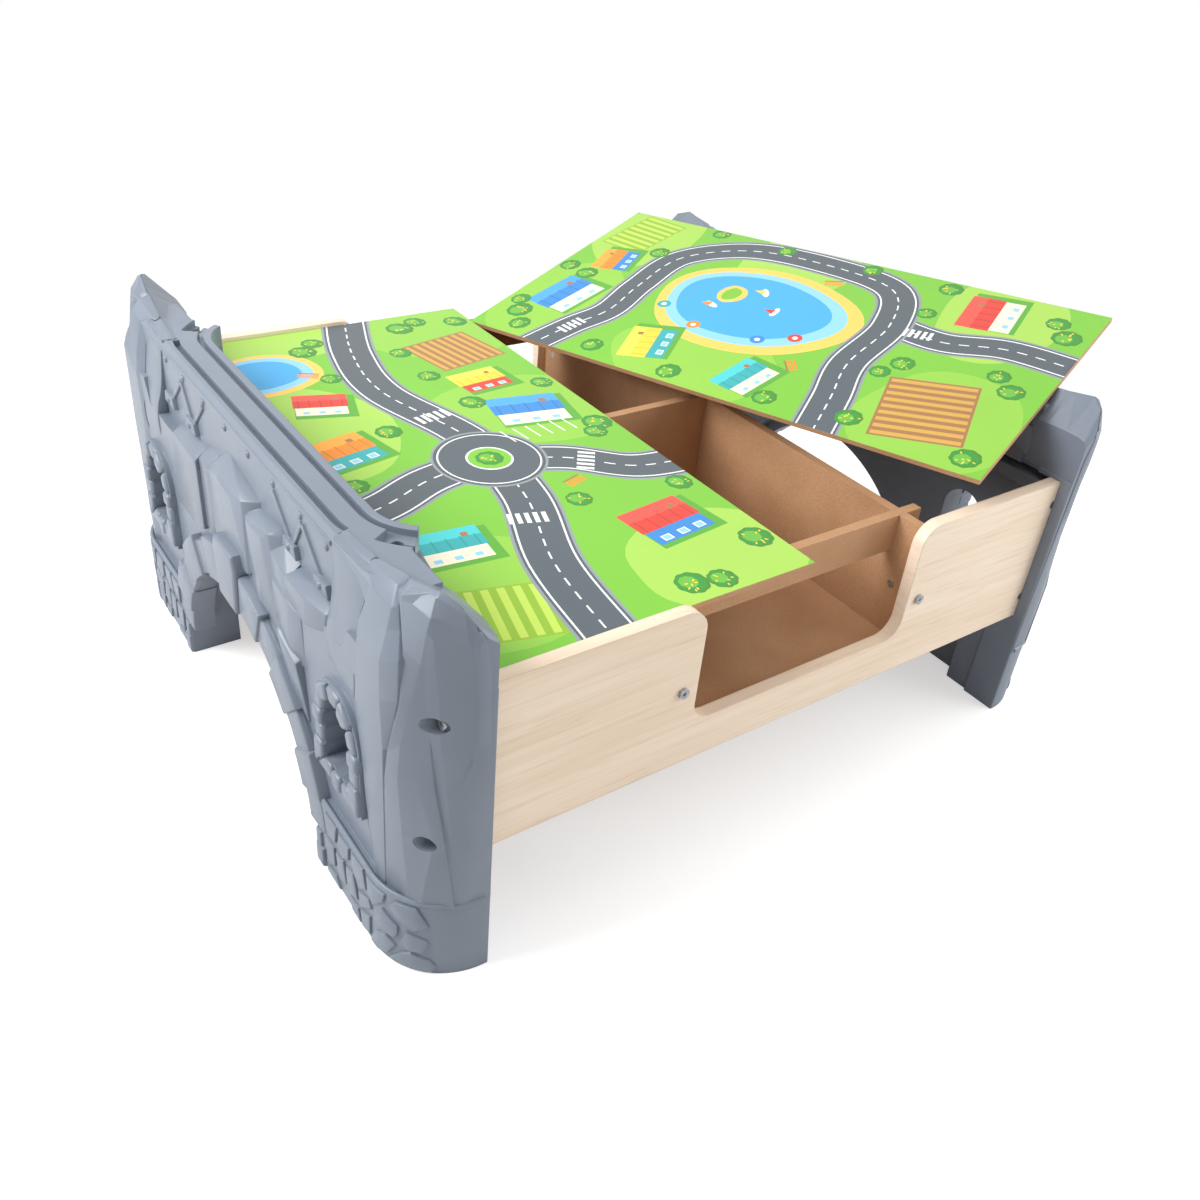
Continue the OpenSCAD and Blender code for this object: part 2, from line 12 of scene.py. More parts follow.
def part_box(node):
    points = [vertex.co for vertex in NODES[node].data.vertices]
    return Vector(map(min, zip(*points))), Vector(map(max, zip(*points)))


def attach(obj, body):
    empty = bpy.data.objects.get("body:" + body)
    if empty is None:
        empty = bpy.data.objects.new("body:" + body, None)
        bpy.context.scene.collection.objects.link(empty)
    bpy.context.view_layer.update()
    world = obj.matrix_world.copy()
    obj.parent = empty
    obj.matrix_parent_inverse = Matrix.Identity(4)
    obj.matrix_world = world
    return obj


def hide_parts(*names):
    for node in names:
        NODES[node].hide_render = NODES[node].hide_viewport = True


MM = 0.001
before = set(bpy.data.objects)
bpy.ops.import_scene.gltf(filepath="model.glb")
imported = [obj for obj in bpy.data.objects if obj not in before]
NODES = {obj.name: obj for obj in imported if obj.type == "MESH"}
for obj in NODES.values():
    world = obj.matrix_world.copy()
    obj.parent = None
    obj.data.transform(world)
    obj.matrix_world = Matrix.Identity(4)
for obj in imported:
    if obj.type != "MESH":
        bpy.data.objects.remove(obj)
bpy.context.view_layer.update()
scene = bpy.context.scene
scene.view_settings.view_transform = "Standard"


# Finishes

def tone(red, green, blue):
    """Linear colour of an 8-bit screen colour: c/12.92 near black, else ((c + 0.055) / 1.055) ^ 2.4."""
    c = np.array([red, green, blue]) / 255
    lin = np.where(c <= 0.04045, c / 12.92, ((c + 0.055) / 1.055) ** 2.4)
    return (*[float(v) for v in lin], 1.0)


def wired(tree, kind, inputs, **settings):
    """A shader node with its settings, each input either linked from a socket or set to a value."""
    node = tree.nodes.new("ShaderNode" + kind)
    for key, value in settings.items():
        setattr(node, key, value)
    for key, value in inputs.items():
        if isinstance(value, bpy.types.NodeSocket):
            tree.links.new(value, node.inputs[key])
        else:
            node.inputs[key].default_value = value
    return node


def new_finish(name, rough, specular):
    """A material with its shader's constants set, and object coordinates for its patterns."""
    mat = bpy.data.materials.new(name)
    mat.use_nodes = True
    tree = mat.node_tree
    shader = tree.nodes["Principled BSDF"]
    shader.inputs["Roughness"].default_value = rough
    shader.inputs["Specular IOR Level"].default_value = specular
    return mat, tree, shader, wired(tree, "TexCoord", {}).outputs["Object"]


def noise(tree, coords, scale, stretch=(1, 1, 1), detail=4.0, rough=0.5, warp=0.0):
    """Noise over coordinates that are first stretched along each axis."""
    stretched = wired(tree, "Mapping", {"Vector": coords, "Scale": stretch}).outputs["Vector"]
    return wired(tree, "TexNoise", {"Vector": stretched, "Scale": scale, "Detail": detail, "Roughness": rough,
                                    "Distortion": warp}).outputs["Fac"]


def ramp(tree, value, stops):
    """Colours picked along a value between 0 and 1."""
    node = wired(tree, "ValToRGB", {"Fac": value})
    while len(node.color_ramp.elements) < len(stops):
        node.color_ramp.elements.new(0.5)
    for element, (place, colour) in zip(node.color_ramp.elements, stops):
        element.position = place
        element.color = colour
    return node.outputs["Color"]


def tinted(tree, share, a, b):
    """One colour multiplied by another, by a share."""
    return wired(tree, "Mix", {0: share, 6: a, 7: b}, data_type="RGBA", blend_type="MULTIPLY").outputs[2]


def ranged(tree, value, low, high):
    """A 0 to 1 value spread between low and high."""
    return wired(tree, "MapRange", {"Value": value, "To Min": low, "To Max": high}).outputs["Result"]


def relief(tree, shader, value, strength, distance, edge=0.0):
    """Bump from a value, over a normal that is rounded at edges by a radius."""
    node = wired(tree, "Bump", {"Strength": strength, "Distance": distance, "Height": value})
    if edge:
        soft = wired(tree, "Bevel", {"Radius": edge}, samples=6)
        tree.links.new(soft.outputs["Normal"], node.inputs["Normal"])
    tree.links.new(node.outputs["Normal"], shader.inputs["Normal"])


def moulded_plastic():
    """Blue-grey moulded plastic: cloudy tone, fine pebbled skin, edges a little rounded."""
    mat, tree, shader, coords = new_finish("moulded_plastic", 0.36, 0.5)
    cloud = noise(tree, coords, 7.0, detail=3.0)
    skin = noise(tree, coords, 900.0, detail=2.0)
    base = ramp(tree, cloud, [(0.25, tone(118, 127, 140)), (0.75, tone(127, 136, 149))])
    shade = ranged(tree, skin, 0.96, 1.03)
    colour = tinted(tree, 1.0, base, shade)
    tree.links.new(colour, shader.inputs["Base Color"])
    tree.links.new(ranged(tree, noise(tree, coords, 40.0), 0.27, 0.36), shader.inputs["Roughness"])
    relief(tree, shader, skin, 0.12, 0.0006, edge=0.0016)
    return mat


def maple_laminate():
    """Pale maple face: long grain along X, darker growth lines, short pores, satin lacquer."""
    mat, tree, shader, coords = new_finish("maple_laminate", 0.4, 0.4)
    broad = noise(tree, coords, 5.0, (0.5, 1, 6.0), detail=3.0, warp=0.6)
    lines = noise(tree, coords, 40.0, (0.1, 1, 5.0), detail=6.0, rough=0.62, warp=0.3)
    pores = noise(tree, coords, 260.0, (0.05, 1, 1), detail=2.0)
    base = ramp(tree, broad, [(0.3, tone(240, 218, 192)), (0.7, tone(247, 229, 207))])
    fine = ramp(tree, lines, [(0.35, tone(214, 184, 150)), (0.55, tone(255, 255, 255))])
    colour = tinted(tree, 0.15, base, fine)
    dark = ramp(tree, pores, [(0.3, tone(200, 170, 135)), (0.42, tone(255, 255, 255))])
    colour = tinted(tree, 0.15, colour, dark)
    tree.links.new(colour, shader.inputs["Base Color"])
    tree.links.new(ranged(tree, lines, 0.36, 0.5), shader.inputs["Roughness"])
    relief(tree, shader, lines, 0.05, 0.0004, edge=0.0022)
    return mat


def fibreboard():
    """Raw brown fibreboard: felted flecks over a cloudy brown, matt."""
    mat, tree, shader, coords = new_finish("fibreboard", 0.75, 0.25)
    felt = noise(tree, coords, 500.0, detail=5.0, rough=0.7)
    cloud = noise(tree, coords, 12.0, detail=3.0)
    base = ramp(tree, cloud, [(0.3, tone(188, 145, 107)), (0.7, tone(203, 160, 122))])
    fleck = ramp(tree, felt, [(0.3, tone(200, 190, 180)), (0.65, tone(255, 255, 255))])
    tree.links.new(tinted(tree, 0.6, base, fleck), shader.inputs["Base Color"])
    tree.links.new(ranged(tree, felt, 0.66, 0.84), shader.inputs["Roughness"])
    relief(tree, shader, felt, 0.2, 0.0006, edge=0.0006)
    return mat


def printed_board():
    """Printed sheet under clear lacquer: the ink is the mesh's own colours, with a faint dot grain."""
    mat, tree, shader, coords = new_finish("printed_board", 0.4, 0.25)
    shader.inputs["Coat Weight"].default_value = 0.05
    shader.inputs["Coat Roughness"].default_value = 0.2
    ink = wired(tree, "VertexColor", {}, layer_name="print")
    grain = noise(tree, coords, 1400.0, detail=1.0)
    wash = noise(tree, coords, 9.0, detail=2.0)
    colour = tinted(tree, 1.0, ink.outputs["Color"], ranged(tree, grain, 0.94, 1.04))
    colour = tinted(tree, 1.0, colour, ranged(tree, wash, 0.95, 1.04))
    tree.links.new(colour, shader.inputs["Base Color"])
    tree.links.new(ranged(tree, wash, 0.3, 0.4), shader.inputs["Roughness"])
    relief(tree, shader, grain, 0.03, 0.0003)
    return mat


def zinc_steel():
    """Bright zinc on steel: brushed streaks and slight mottling."""
    mat, tree, shader, coords = new_finish("zinc_steel", 0.3, 0.5)
    shader.inputs["Metallic"].default_value = 0.9
    mottle = noise(tree, coords, 300.0, detail=3.0)
    streak = noise(tree, coords, 700.0, (1, 1, 0.08), detail=2.0)
    base = ramp(tree, mottle, [(0.3, tone(150, 152, 156)), (0.7, tone(196, 198, 202))])
    tree.links.new(base, shader.inputs["Base Color"])
    tree.links.new(ranged(tree, streak, 0.22, 0.42), shader.inputs["Roughness"])
    relief(tree, shader, streak, 0.05, 0.0002, edge=0.0004)
    return mat


PLASTIC = moulded_plastic()
MAPLE = maple_laminate()
FIBRE = fibreboard()
PRINT = printed_board()
ZINC = zinc_steel()


# Mesh helpers

CRISP = math.radians(35)


def add_piece(name, mesh, materials, body, nodes=()):
    """A piece at the origin that rides on a body; edges sharper than a set angle stay crisp."""
    obj = bpy.data.objects.new(name, mesh)
    scene.collection.objects.link(obj)
    for mat in materials:
        mesh.materials.append(mat)
    mesh.polygons.foreach_set("use_smooth", np.ones(len(mesh.polygons), bool))
    mesh.set_sharp_from_angle(angle=CRISP)
    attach(obj, body)
    if nodes:
        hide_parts(*nodes)


def joined_mesh(name, parts):
    """One mesh of many closed parts, each an array of points in millimetres and a list of faces."""
    points = np.concatenate([p for p, _ in parts])
    starts = np.cumsum([0] + [len(p) for p, _ in parts])
    faces = [[int(k + start) for k in face] for start, (_, fs) in zip(starts, parts) for face in fs]
    bm = opened(points * MM, faces)
    bmesh.ops.recalc_face_normals(bm, faces=bm.faces)
    mesh = bpy.data.meshes.new(name)
    bm.to_mesh(mesh)
    bm.free()
    return mesh


def full_turn(count):
    """Even angles round a circle, from 0 to one step short of a full turn."""
    return np.linspace(0, 2 * math.pi, count + 1)[:-1]


def cut_corners(outline, share):
    """Each corner of an outline is replaced by the two points a share along its two edges."""
    after = np.roll(outline, -1, axis=0)
    step = (after - outline) * share
    return np.stack([outline + step, after - step], 1).reshape(-1, 2)


def tube_faces(rows, around):
    """Quads between neighbouring rings of a tube, then its two end faces."""
    k = np.arange(around)
    j = (k + 1) % around
    walls = [np.stack([k, j, j + around, k + around], 1) + r * around for r in range(rows - 1)]
    return np.concatenate(walls).tolist() + [k[::-1].tolist(), (k + (rows - 1) * around).tolist()]


def opened(points, faces):
    """An editable form of points and faces."""
    mesh = bpy.data.meshes.new("form")
    mesh.from_pydata(np.asarray(points).tolist(), [], faces)
    bm = bmesh.new()
    bm.from_mesh(mesh)
    bpy.data.meshes.remove(mesh)
    return bm


def taken(bm):
    """The points and faces of an editable form, which is then let go."""
    bm.verts.index_update()
    out = np.array([v.co[:] for v in bm.verts]), [[v.index for v in f.verts] for f in bm.faces]
    bm.free()
    return out


def eased(bm, edge, pick, segments=2):
    """Rounds the picked edges of a closed form and hands back its points and faces."""
    bmesh.ops.recalc_face_normals(bm, faces=bm.faces)
    bmesh.ops.bevel(bm, geom=[e for e in bm.edges if pick(e)], offset=edge, segments=segments, profile=0.5,
                    affect="EDGES", clamp_overlap=True)
    return taken(bm)


def stone(outline, low, high, edge, segments=2):
    """A raised block: an outline stands from low to high, and its upper rim is rounded.
    Points are (first axis, second axis, height)."""
    n = len(outline)
    points = np.concatenate([np.column_stack([outline, np.full(n, h)]) for h in (low, high)])
    bm = opened(points, tube_faces(2, n))
    return eased(bm, edge, lambda e: min(v.index for v in e.verts) >= n, segments)


def shell(front, sink, edge, least):
    """A cut rock face: a grid of corners as flat facets, closed by the same grid moved inwards,
    with every crease sharper than a least angle rounded."""
    rows, cols = front.shape[:2]
    index = np.arange(rows * cols).reshape(rows, cols)
    quads = np.stack([index[:-1, :-1], index[:-1, 1:], index[1:, 1:], index[1:, :-1]], 2).reshape(-1, 4)
    rim = np.concatenate([index[0], index[1:, -1], index[-1, -2::-1], index[-2:0:-1, 0]])
    after = np.roll(rim, -1)
    back = rows * cols
    walls = np.stack([rim, after, after + back, rim + back], 1)
    points = np.concatenate([front.reshape(-1, 3), (front + sink).reshape(-1, 3)])
    bm = opened(points, np.concatenate([quads[:, ::-1], quads + back, walls]).tolist())
    bm.normal_update()
    return eased(bm, edge, lambda e: e.calc_face_angle(0) > math.radians(least))


def slab(points, edge):
    """A cut rock: the convex hull of its corners, its flat faces merged and its edges rounded."""
    bm = opened(points, [])
    done = bmesh.ops.convex_hull(bm, input=bm.verts)
    loose = [v for v in done["geom_interior"] + done["geom_unused"] if isinstance(v, bmesh.types.BMVert)]
    bmesh.ops.delete(bm, geom=list(set(loose)), context="VERTS")
    bmesh.ops.dissolve_limit(bm, angle_limit=math.radians(4), verts=bm.verts, edges=bm.edges)
    return eased(bm, edge, lambda e: True)


def sliced(points, faces, step):
    """Cuts a form across its first axis at even steps, so that it can follow a curve."""
    bm = opened(points, faces)
    first = math.ceil(points[:, 0].min() / step) * step
    for at in np.arange(first, points[:, 0].max(), step):
        bmesh.ops.bisect_plane(bm, geom=bm.verts[:] + bm.edges[:] + bm.faces[:], dist=0.001,
                               plane_co=(at, 0, 0), plane_no=(1, 0, 0))
    return taken(bm)


# End panels: X is the thickness from the inner plane, Y across the table, Z up

# From the table's middle to a panel's inner plane
HALF_IN = 386.0
# Thickness at the rock wall, the plinth and the girder's band
ROCK, PLINTH, BAND = 76.0, 84.0, 64.0
# Half the panel's width, and the thickness at which the corners' rounding has its centre
END_HALF, CORNER_A = 408.5, 4.0
# Thickness at which raised blocks are rooted in the wall
ARCH_ROOT, FRAME_ROOT = 58.0, 60.0
# The arch: height of its centre, radii of its ring, half the opening at the foot, angles of the ring's joints
ARCH_Z, RING_IN, RING_OUT, JAMB = 27.0, 183.6, 224.0, 200.5
RING_ANGLES = np.array([8.6, 21.5, 34.0, 47.5, 60.0, 72.0, 84.5])
# The windows: distance from the middle, half width, height of the sill and of the round top's centre
WINDOW_Y, WINDOW_HALF, WINDOW_SILL, WINDOW_SPRING = 262.0, 29.0, 168.0, 225.0
# Height of the plinth's lip, and height where the towers' ridge begins
LIP_Z, RIDGE_Z = 96.5, 410.0
# The bolt pockets: distance from the middle, heights and radius
POCKET_Y, POCKET_HEIGHTS, POCKET_R = 387.0, (176, 309), 8.6


def wrap(points):
    """(distance along the face, height, stand-off from the plinth face) laid on the plinth's rounded plan:
    flat up to the corner, then round the corner's circle."""
    s, z, h = points[:, 0], points[:, 1], points[:, 2]
    radius = PLINTH - CORNER_A
    start = END_HALF - radius
    past = np.maximum(np.abs(s) - start, 0) / radius
    a = CORNER_A + (radius + h) * np.cos(past)
    y = np.sign(s) * (np.minimum(np.abs(s), start) + (radius + h) * np.sin(past))
    return np.column_stack([a, y, z])


def flat(points):
    """(across, up, thickness) to the panel's axes."""
    return points[:, [2, 0, 1]]


def arch_stones():
    """Ring of voussoirs: each a block between two angles and two radii about the arch's centre, every
    other one longer and prouder, with a keystone in the middle and two quoins at the foot of each jamb."""
    face, prouder, edge = 85.4, 3.0, 3.4
    blocks = []
    for side in (-1, 1):
        for k in range(len(RING_ANGLES) - 1):
            big = (k + 1) % 2
            turn = np.radians(np.linspace(RING_ANGLES[k] - 0.6 * big, RING_ANGLES[k + 1] + 0.6 * big, 5))
            ray = np.column_stack([np.sin(turn), np.cos(turn)])
            ring = np.concatenate([ray * (RING_IN - 1.5 * big), ray[::-1] * (RING_OUT + 7.0 * big)])
            blocks.append(stone(ring * [side, 1] + [0, ARCH_Z], ARCH_ROOT, face + prouder * big, edge))
        for low, top, wide, high in ((0.5, 26, 17, 88.5), (26, 46, 12, 87.5)):
            quoin = np.array([[JAMB, low], [JAMB + wide, low], [JAMB + wide, top], [JAMB, top]])
            blocks.append(stone(quoin * [side, 1], ARCH_ROOT, high, 3.0))
    key = np.array([[-25, 178], [25, 178], [32, 236], [26, 251], [-26, 251], [-32, 236]]) + [0, ARCH_Z]
    blocks.append(stone(key, ARCH_ROOT, 92.0, 4.5, 3))
    return [(flat(p), f) for p, f in blocks]


def window_outline(middle, grow):
    """An arched window's outline grown by an offset: a half circle, then down, along the sill and up."""
    half = WINDOW_HALF + grow
    turn = np.linspace(0, math.pi, 6)
    top = np.column_stack([middle + half * np.cos(turn), WINDOW_SPRING + half * np.sin(turn)])
    low = WINDOW_SILL - grow
    corners = [[middle - half, 206], [middle - half, 186], [middle - half, low], [middle - 9, low],
               [middle + 11, low], [middle + half, low], [middle + half, 186], [middle + half, 206]]
    return np.concatenate([top, corners])


def window_stones(middle):
    """Frame round an arched window: rounded blocks between neighbouring rays of two offset outlines,
    every other block a little wider and prouder."""
    joint, chamfer = 0.035, 0.16
    face, wide, edge = 85.6, 18.0, 4.2
    inner = window_outline(middle, -0.6)
    n = len(inner)
    parts = []
    for k in range(n):
        j = (k + 1) % n
        big = k % 2
        outer = window_outline(middle, wide + 2.0 * big)
        block = np.array([inner[k], inner[j], outer[j], outer[k]])
        block = cut_corners(block + (block.mean(0) - block) * joint, chamfer)
        p, f = stone(block, FRAME_ROOT, face + 1.6 * big, edge, 3)
        parts.append((flat(p), f))
    return parts


# Cobbles: corners of each as (distance along the plinth from the panel's middle, height)
COBBLES = [[(366, 90), (388, 91), (399, 68), (385, 59), (369, 66), (359, 80)],
           [(349, 69), (368, 57), (368, 48), (365, 39), (349, 36), (335, 43)],
           [(377, 54), (398, 47), (398, 40), (393, 30), (379, 28), (371, 37)],
           [(356, 4), (371, 21), (381, 25), (400, 19), (405, 12), (402, 3)],
           [(339, 28), (353, 35), (365, 28), (355, 9), (341, 3), (328, 4)],
           [(306, 24), (327, 35), (326, 8), (308, 3)],
           [(323, 89), (353, 90), (351, 78), (334, 60), (325, 69)],
           [(289, 89), (315, 90), (321, 67), (305, 54), (292, 66)],
           [(303, 48), (326, 59), (331, 50), (305, 28)],
           [(274, 55), (291, 62), (299, 31), (282, 23), (275, 32)],
           [(250, 53), (268, 56), (273, 27), (256, 20)],
           [(260, 88), (283, 88), (281, 70), (267, 60), (255, 60)],
           [(222, 54), (245, 53), (246, 28), (226, 17)],
           [(227, 89), (254, 89), (250, 66), (230, 60)],
           [(224, 3), (226, 11), (247, 15), (256, 3)],
           [(281, 19), (299, 18), (305, 3), (285, 3)]]


def plinth_stones():
    """Flat cobbles on the plinth, each an outline of (distance along the face, height) laid round the plan,
    and a half-round lip along the plinth's top."""
    root, proud, edge, strip = -5.0, 2.6, 1.1, 8.0
    parts = []
    for side in (-1, 1):
        for outline in COBBLES:
            p, f = stone(np.array(outline, float) * [side, 1], root, proud, edge)
            p, f = sliced(p, f, strip)
            parts.append((wrap(p), f))
        parts.append(lip(side))
    return parts


def lip(side):
    """A half-round bead along the plinth's top: a circle carried along the plan, closed at both ends."""
    tall, deep, set_back = 3.4, 3.0, 1.0
    along = np.concatenate([np.linspace(206, 328, 6), np.linspace(332, 452, 25)])
    turn = full_turn(10)
    s, t = np.meshgrid(side * along, turn, indexing="ij")
    points = np.stack([s, LIP_Z + tall * np.sin(t), deep * np.cos(t) - set_back], 2).reshape(-1, 3)
    return wrap(points), tube_faces(len(along), len(turn))


def rivet(y, z, base):
    """A dome rivet: rings of a flattened half ball, closed by a point on top."""
    radius, height, around, rings = 4.4, 3.0, 12, 4
    t, u = np.meshgrid(full_turn(around), np.linspace(0, math.pi / 2, rings + 1)[:-1])
    dome = np.stack([y + radius * np.cos(u) * np.cos(t), z + radius * np.cos(u) * np.sin(t),
                     base + height * np.sin(u)], 2)
    points = np.concatenate([dome.reshape(-1, 3), [[y, z, base + height]]])
    last = around * (rings - 1)
    cap = [[last + k, last + (k + 1) % around, around * rings] for k in range(around)]
    return flat(points), tube_faces(rings, around)[:-1] + cap


def girder_block(outline, high, edge):
    """A flat raised block on the girder's band."""
    p, f = stone(outline, BAND - 6, BAND + high, edge)
    return flat(p), f


def strut(start, end, wide):
    """A straight bar between two points of the band."""
    along = end - start
    across = np.array([-along[1], along[0]]) / np.hypot(*along) * wide / 2
    return girder_block(np.array([start - across, end - across, end + across, start + across]), 2.6, 1.2)


def girder():
    """Girder details on the band: dome rivets, zigzag struts, gusset plates and the deck's edge strip."""
    rivet_z, strut_top, strut_foot, strut_wide = 393, 387, 350, 5.5
    low, high = 342, 355
    parts = []
    for side in (-1, 1):
        parts += [rivet(side * y, rivet_z, BAND - 0.4) for y in (32, 97, 162, 220)]
        for top, foot in ((98, 137), (166, 141), (168, 208)):
            start, end = np.array([side * top, strut_top]), np.array([side * foot, strut_foot])
            parts.append(strut(start, end, strut_wide))
        for y in (139, 211):
            plate = np.array([[y - 17, low], [y + 17, low], [y + 13, high], [y - 13, high]])
            parts.append(girder_block(plate * [side, 1], 5.5, 1.5))
            parts.append(rivet(side * y, 349, BAND + 5))
    parts.append(girder_block(np.array([[-231, 400], [231, 400], [231, 405], [-231, 405]]), 1.6, 1.2))
    return parts


# Rocks over the arch: (across, up, thickness) of the front top edge and of the foot, (across, up) of the back
ROCKS = [
    ([(188, 320, 76), (120, 315, 83), (90, 331, 82)], [(205, 222, 76), (118, 236, 82), (92, 244, 81)],
     [(190, 329), (136, 338), (98, 344)]),
    ([(99, 331, 77.4), (62, 335, 77.8)], [(99, 246, 77), (62, 252, 77.4)], [(100, 345), (60, 352)]),
    ([(67, 332, 78), (14, 348, 83), (-25, 344, 84), (-45, 351, 80)],
     [(62, 254, 77), (12, 272, 82), (-42, 262, 80)],
     [(76, 341), (30, 369), (-22, 359), (-60, 353), (-58, 280)]),
    ([(-44, 335, 76), (-60, 338, 82), (-99, 339, 82), (-111, 349, 78)],
     [(-44, 262, 76), (-76, 252, 81), (-112, 244, 77)],
     [(-34, 343), (-88, 347), (-113, 354), (-127, 347), (-124, 270)]),
    ([(-108, 331, 77.2), (-154, 323, 78.4)], [(-108, 246, 77), (-154, 226, 77)], [(-108, 347), (-154, 338)]),
    ([(-152, 328, 81), (-200, 332, 81), (-238, 335, 76)], [(-152, 300, 80), (-196, 300, 80), (-232, 312, 76)],
     [(-158, 337), (-213, 343), (-238, 342), (-246, 330)]),
    ([(-112, 300, 79), (-154, 298, 80), (-178, 292, 77)], [(-122, 238, 80), (-152, 226, 82), (-180, 236, 76)],
     [(-112, 306), (-178, 300)]),
    ([(-126, 252, 84), (-150, 240, 86), (-172, 238, 84)], [(-136, 214, 82), (-158, 190, 82), (-182, 168, 78)],
     [(-124, 258), (-172, 248)])]
ROCK_BACK = 62


def rock_slabs():
    """Rock mass over the arch: slabs with sloping tops, each the hull of its front, foot and back corners."""
    parts = []
    for front, foot, back in ROCKS:
        corners = np.array([(a, y, z) for y, z, a in front + foot]
                           + [(ROCK_BACK, y, z) for y, z in back]
                           + [(ROCK_BACK, y, z) for y, z, _ in foot], float)
        parts.append(slab(corners, 1.2))
    return parts


# Corner rocks: rows from the ridge down, each of (thickness, across, up) from the girder side outwards
FLANK = [[(48.5, 230, 411.2), (48, 255, 412.8), (47, 276, 414.6), (46.5, 294, 415.4)],
         [(57, 231, 410.7), (57, 256, 411.9), (54, 277, 412.8), (52, 294, 412.8)],
         [(64.9, 232, 404), (65, 258, 404), (63, 282, 405), (58, 302, 406)],
         [(66, 235, 382), (67, 262, 382), (67, 284, 382), (63, 302, 382)],
         [(69, 237, 352), (71, 262, 352), (71, 284, 352), (69, 302, 350)],
         [(77, 239, 325), (76, 263, 323), (75.5, 284, 324), (74, 302, 324)],
         [(77.2, 239, 300), (77.6, 263, 296), (77.6, 284, 296), (77, 302, 296)],
         [(75, 240, 284), (75, 263, 270), (75, 284, 270), (75, 302, 272)]]
INNER_SLAB = [[(46.5, 281, 414.5), (46.5, 285, 414.5), (43.5, 333, 425.5), (43, 337, 425.5)],
              [(52, 284, 412), (54.5, 288.5, 414.5), (55, 338, 422), (50.5, 341, 421)],
              [(55, 296, 404), (64.5, 309, 406), (64, 345, 406.5), (59, 349.5, 411)],
              [(62, 288, 370.5), (74.5, 305, 371), (69, 346, 386.5), (62, 356, 391.5)],
              [(69, 286, 331), (78.5, 305, 343.5), (77.5, 349, 363), (69, 367, 370)],
              [(73, 284, 273), (79, 301, 286.5), (78, 348, 321), (70.5, 366.5, 329)],
              [(75, 293, 227), (79.5, 308.5, 243), (78, 351, 268), (73, 354, 268)],
              [(75, 302.5, 160), (80, 319, 179), (78, 350, 215), (74, 349, 212)],
              [(75, 319, 90.5), (80, 335, 94), (78, 348, 94), (74, 348, 94)]]
OUTER_SLAB = [[(43.5, 336, 424.5), (44, 343, 426.5), (40, 374, 434), (39.8, 375, 434.2), (39.6, 376, 434.5),
               (39.3, 377, 434.8), (38.5, 379, 435.5), (29.5, 397, 428.5), (20.5, 405, 413)],
              [(45.5, 337, 423), (46.8, 346, 425.4), (43.3, 380, 431.8), (43.2, 380.7, 431.9),
               (43.1, 381.3, 432), (43, 381.9, 432.1), (42.8, 382.5, 432.2), (28, 400.5, 422),
               (20, 406.5, 408)],
              [(54.5, 341, 418), (56.5, 347, 419), (51, 386, 417.8), (49.2, 387, 417.6), (47.5, 388, 417.4),
               (45.7, 389, 417.2), (44, 390, 417), (28.5, 405, 406), (17, 407, 406)],
              [(58.5, 349, 413), (61, 357, 409.5), (54, 385, 404.5), (53, 386.3, 403), (52, 387.5, 401.6),
               (51, 388.8, 400.2), (50, 390, 398.8), (26, 407, 395), (15, 408.9, 400)],
              [(62, 360, 374), (64, 365, 380), (56.5, 379.5, 370.5), (55, 381, 370.6), (53.5, 382.5, 370.7),
               (53, 383.2, 370.7), (48, 388.5, 371), (22.5, 408.6, 368.5), (8.5, 409.2, 370)],
              [(66, 358, 324), (69.5, 368, 329), (61.5, 375, 333.5), (57, 379.5, 334.5), (53, 383.5, 335.4),
               (52.5, 384, 335.5), (45.5, 391, 337), (19, 408.9, 338.5), (7.5, 409.2, 334.5)],
              [(72, 348, 258), (76, 356, 268.5), (69.5, 367.5, 283), (60, 376, 288), (50.5, 384, 293),
               (50.2, 384.4, 293), (44, 391, 290), (19, 408.5, 295.5), (6, 409.2, 291)],
              [(73, 342, 212), (77.5, 349, 219), (72.5, 367, 244), (61, 378, 247), (49.5, 388.5, 249),
               (47.6, 387.6, 249), (41, 395, 246.5), (30, 402.5, 255.5), (4.5, 409.2, 240.5)],
              [(73, 339, 146), (77.5, 348, 156), (71, 370.5, 180), (52, 394, 180), (45, 400, 182),
               (42.8, 398.4, 180), (38, 402.5, 178.5), (25, 406.8, 182), (2, 409.2, 172)],
              [(72, 338.5, 92), (77.5, 347, 94), (68, 375, 94), (62, 385.5, 94), (36, 404.5, 94),
               (34.6, 403, 94), (31, 404.8, 94), (26.5, 406.5, 94), (1, 409.2, 94)]]


def pocketed(points, faces, side):
    """The outer slab with the two bolt pockets cut through it along the thickness."""
    around = 24
    turn = full_turn(around)
    across, up = side * POCKET_Y + POCKET_R * np.cos(turn), POCKET_R * np.sin(turn)
    drills = []
    for z in POCKET_HEIGHTS:
        rings = [np.column_stack([np.full(around, depth), across, z + up]) for depth in (20, 96)]
        drills.append((np.concatenate(rings), tube_faces(2, around)))
    rock = bpy.data.objects.new("slab", joined_mesh("slab", [(points, faces)]))
    drill = bpy.data.objects.new("drill", joined_mesh("drill", drills))
    for obj in (rock, drill):
        scene.collection.objects.link(obj)
    cut = rock.modifiers.new("pockets", "BOOLEAN")
    cut.operation = "DIFFERENCE"
    cut.object = drill
    bpy.context.view_layer.update()
    done = rock.evaluated_get(bpy.context.evaluated_depsgraph_get()).to_mesh()
    out = np.array([v.co[:] for v in done.vertices]) / MM, [list(f.vertices) for f in done.polygons]
    bpy.data.objects.remove(rock)
    bpy.data.objects.remove(drill)
    return out


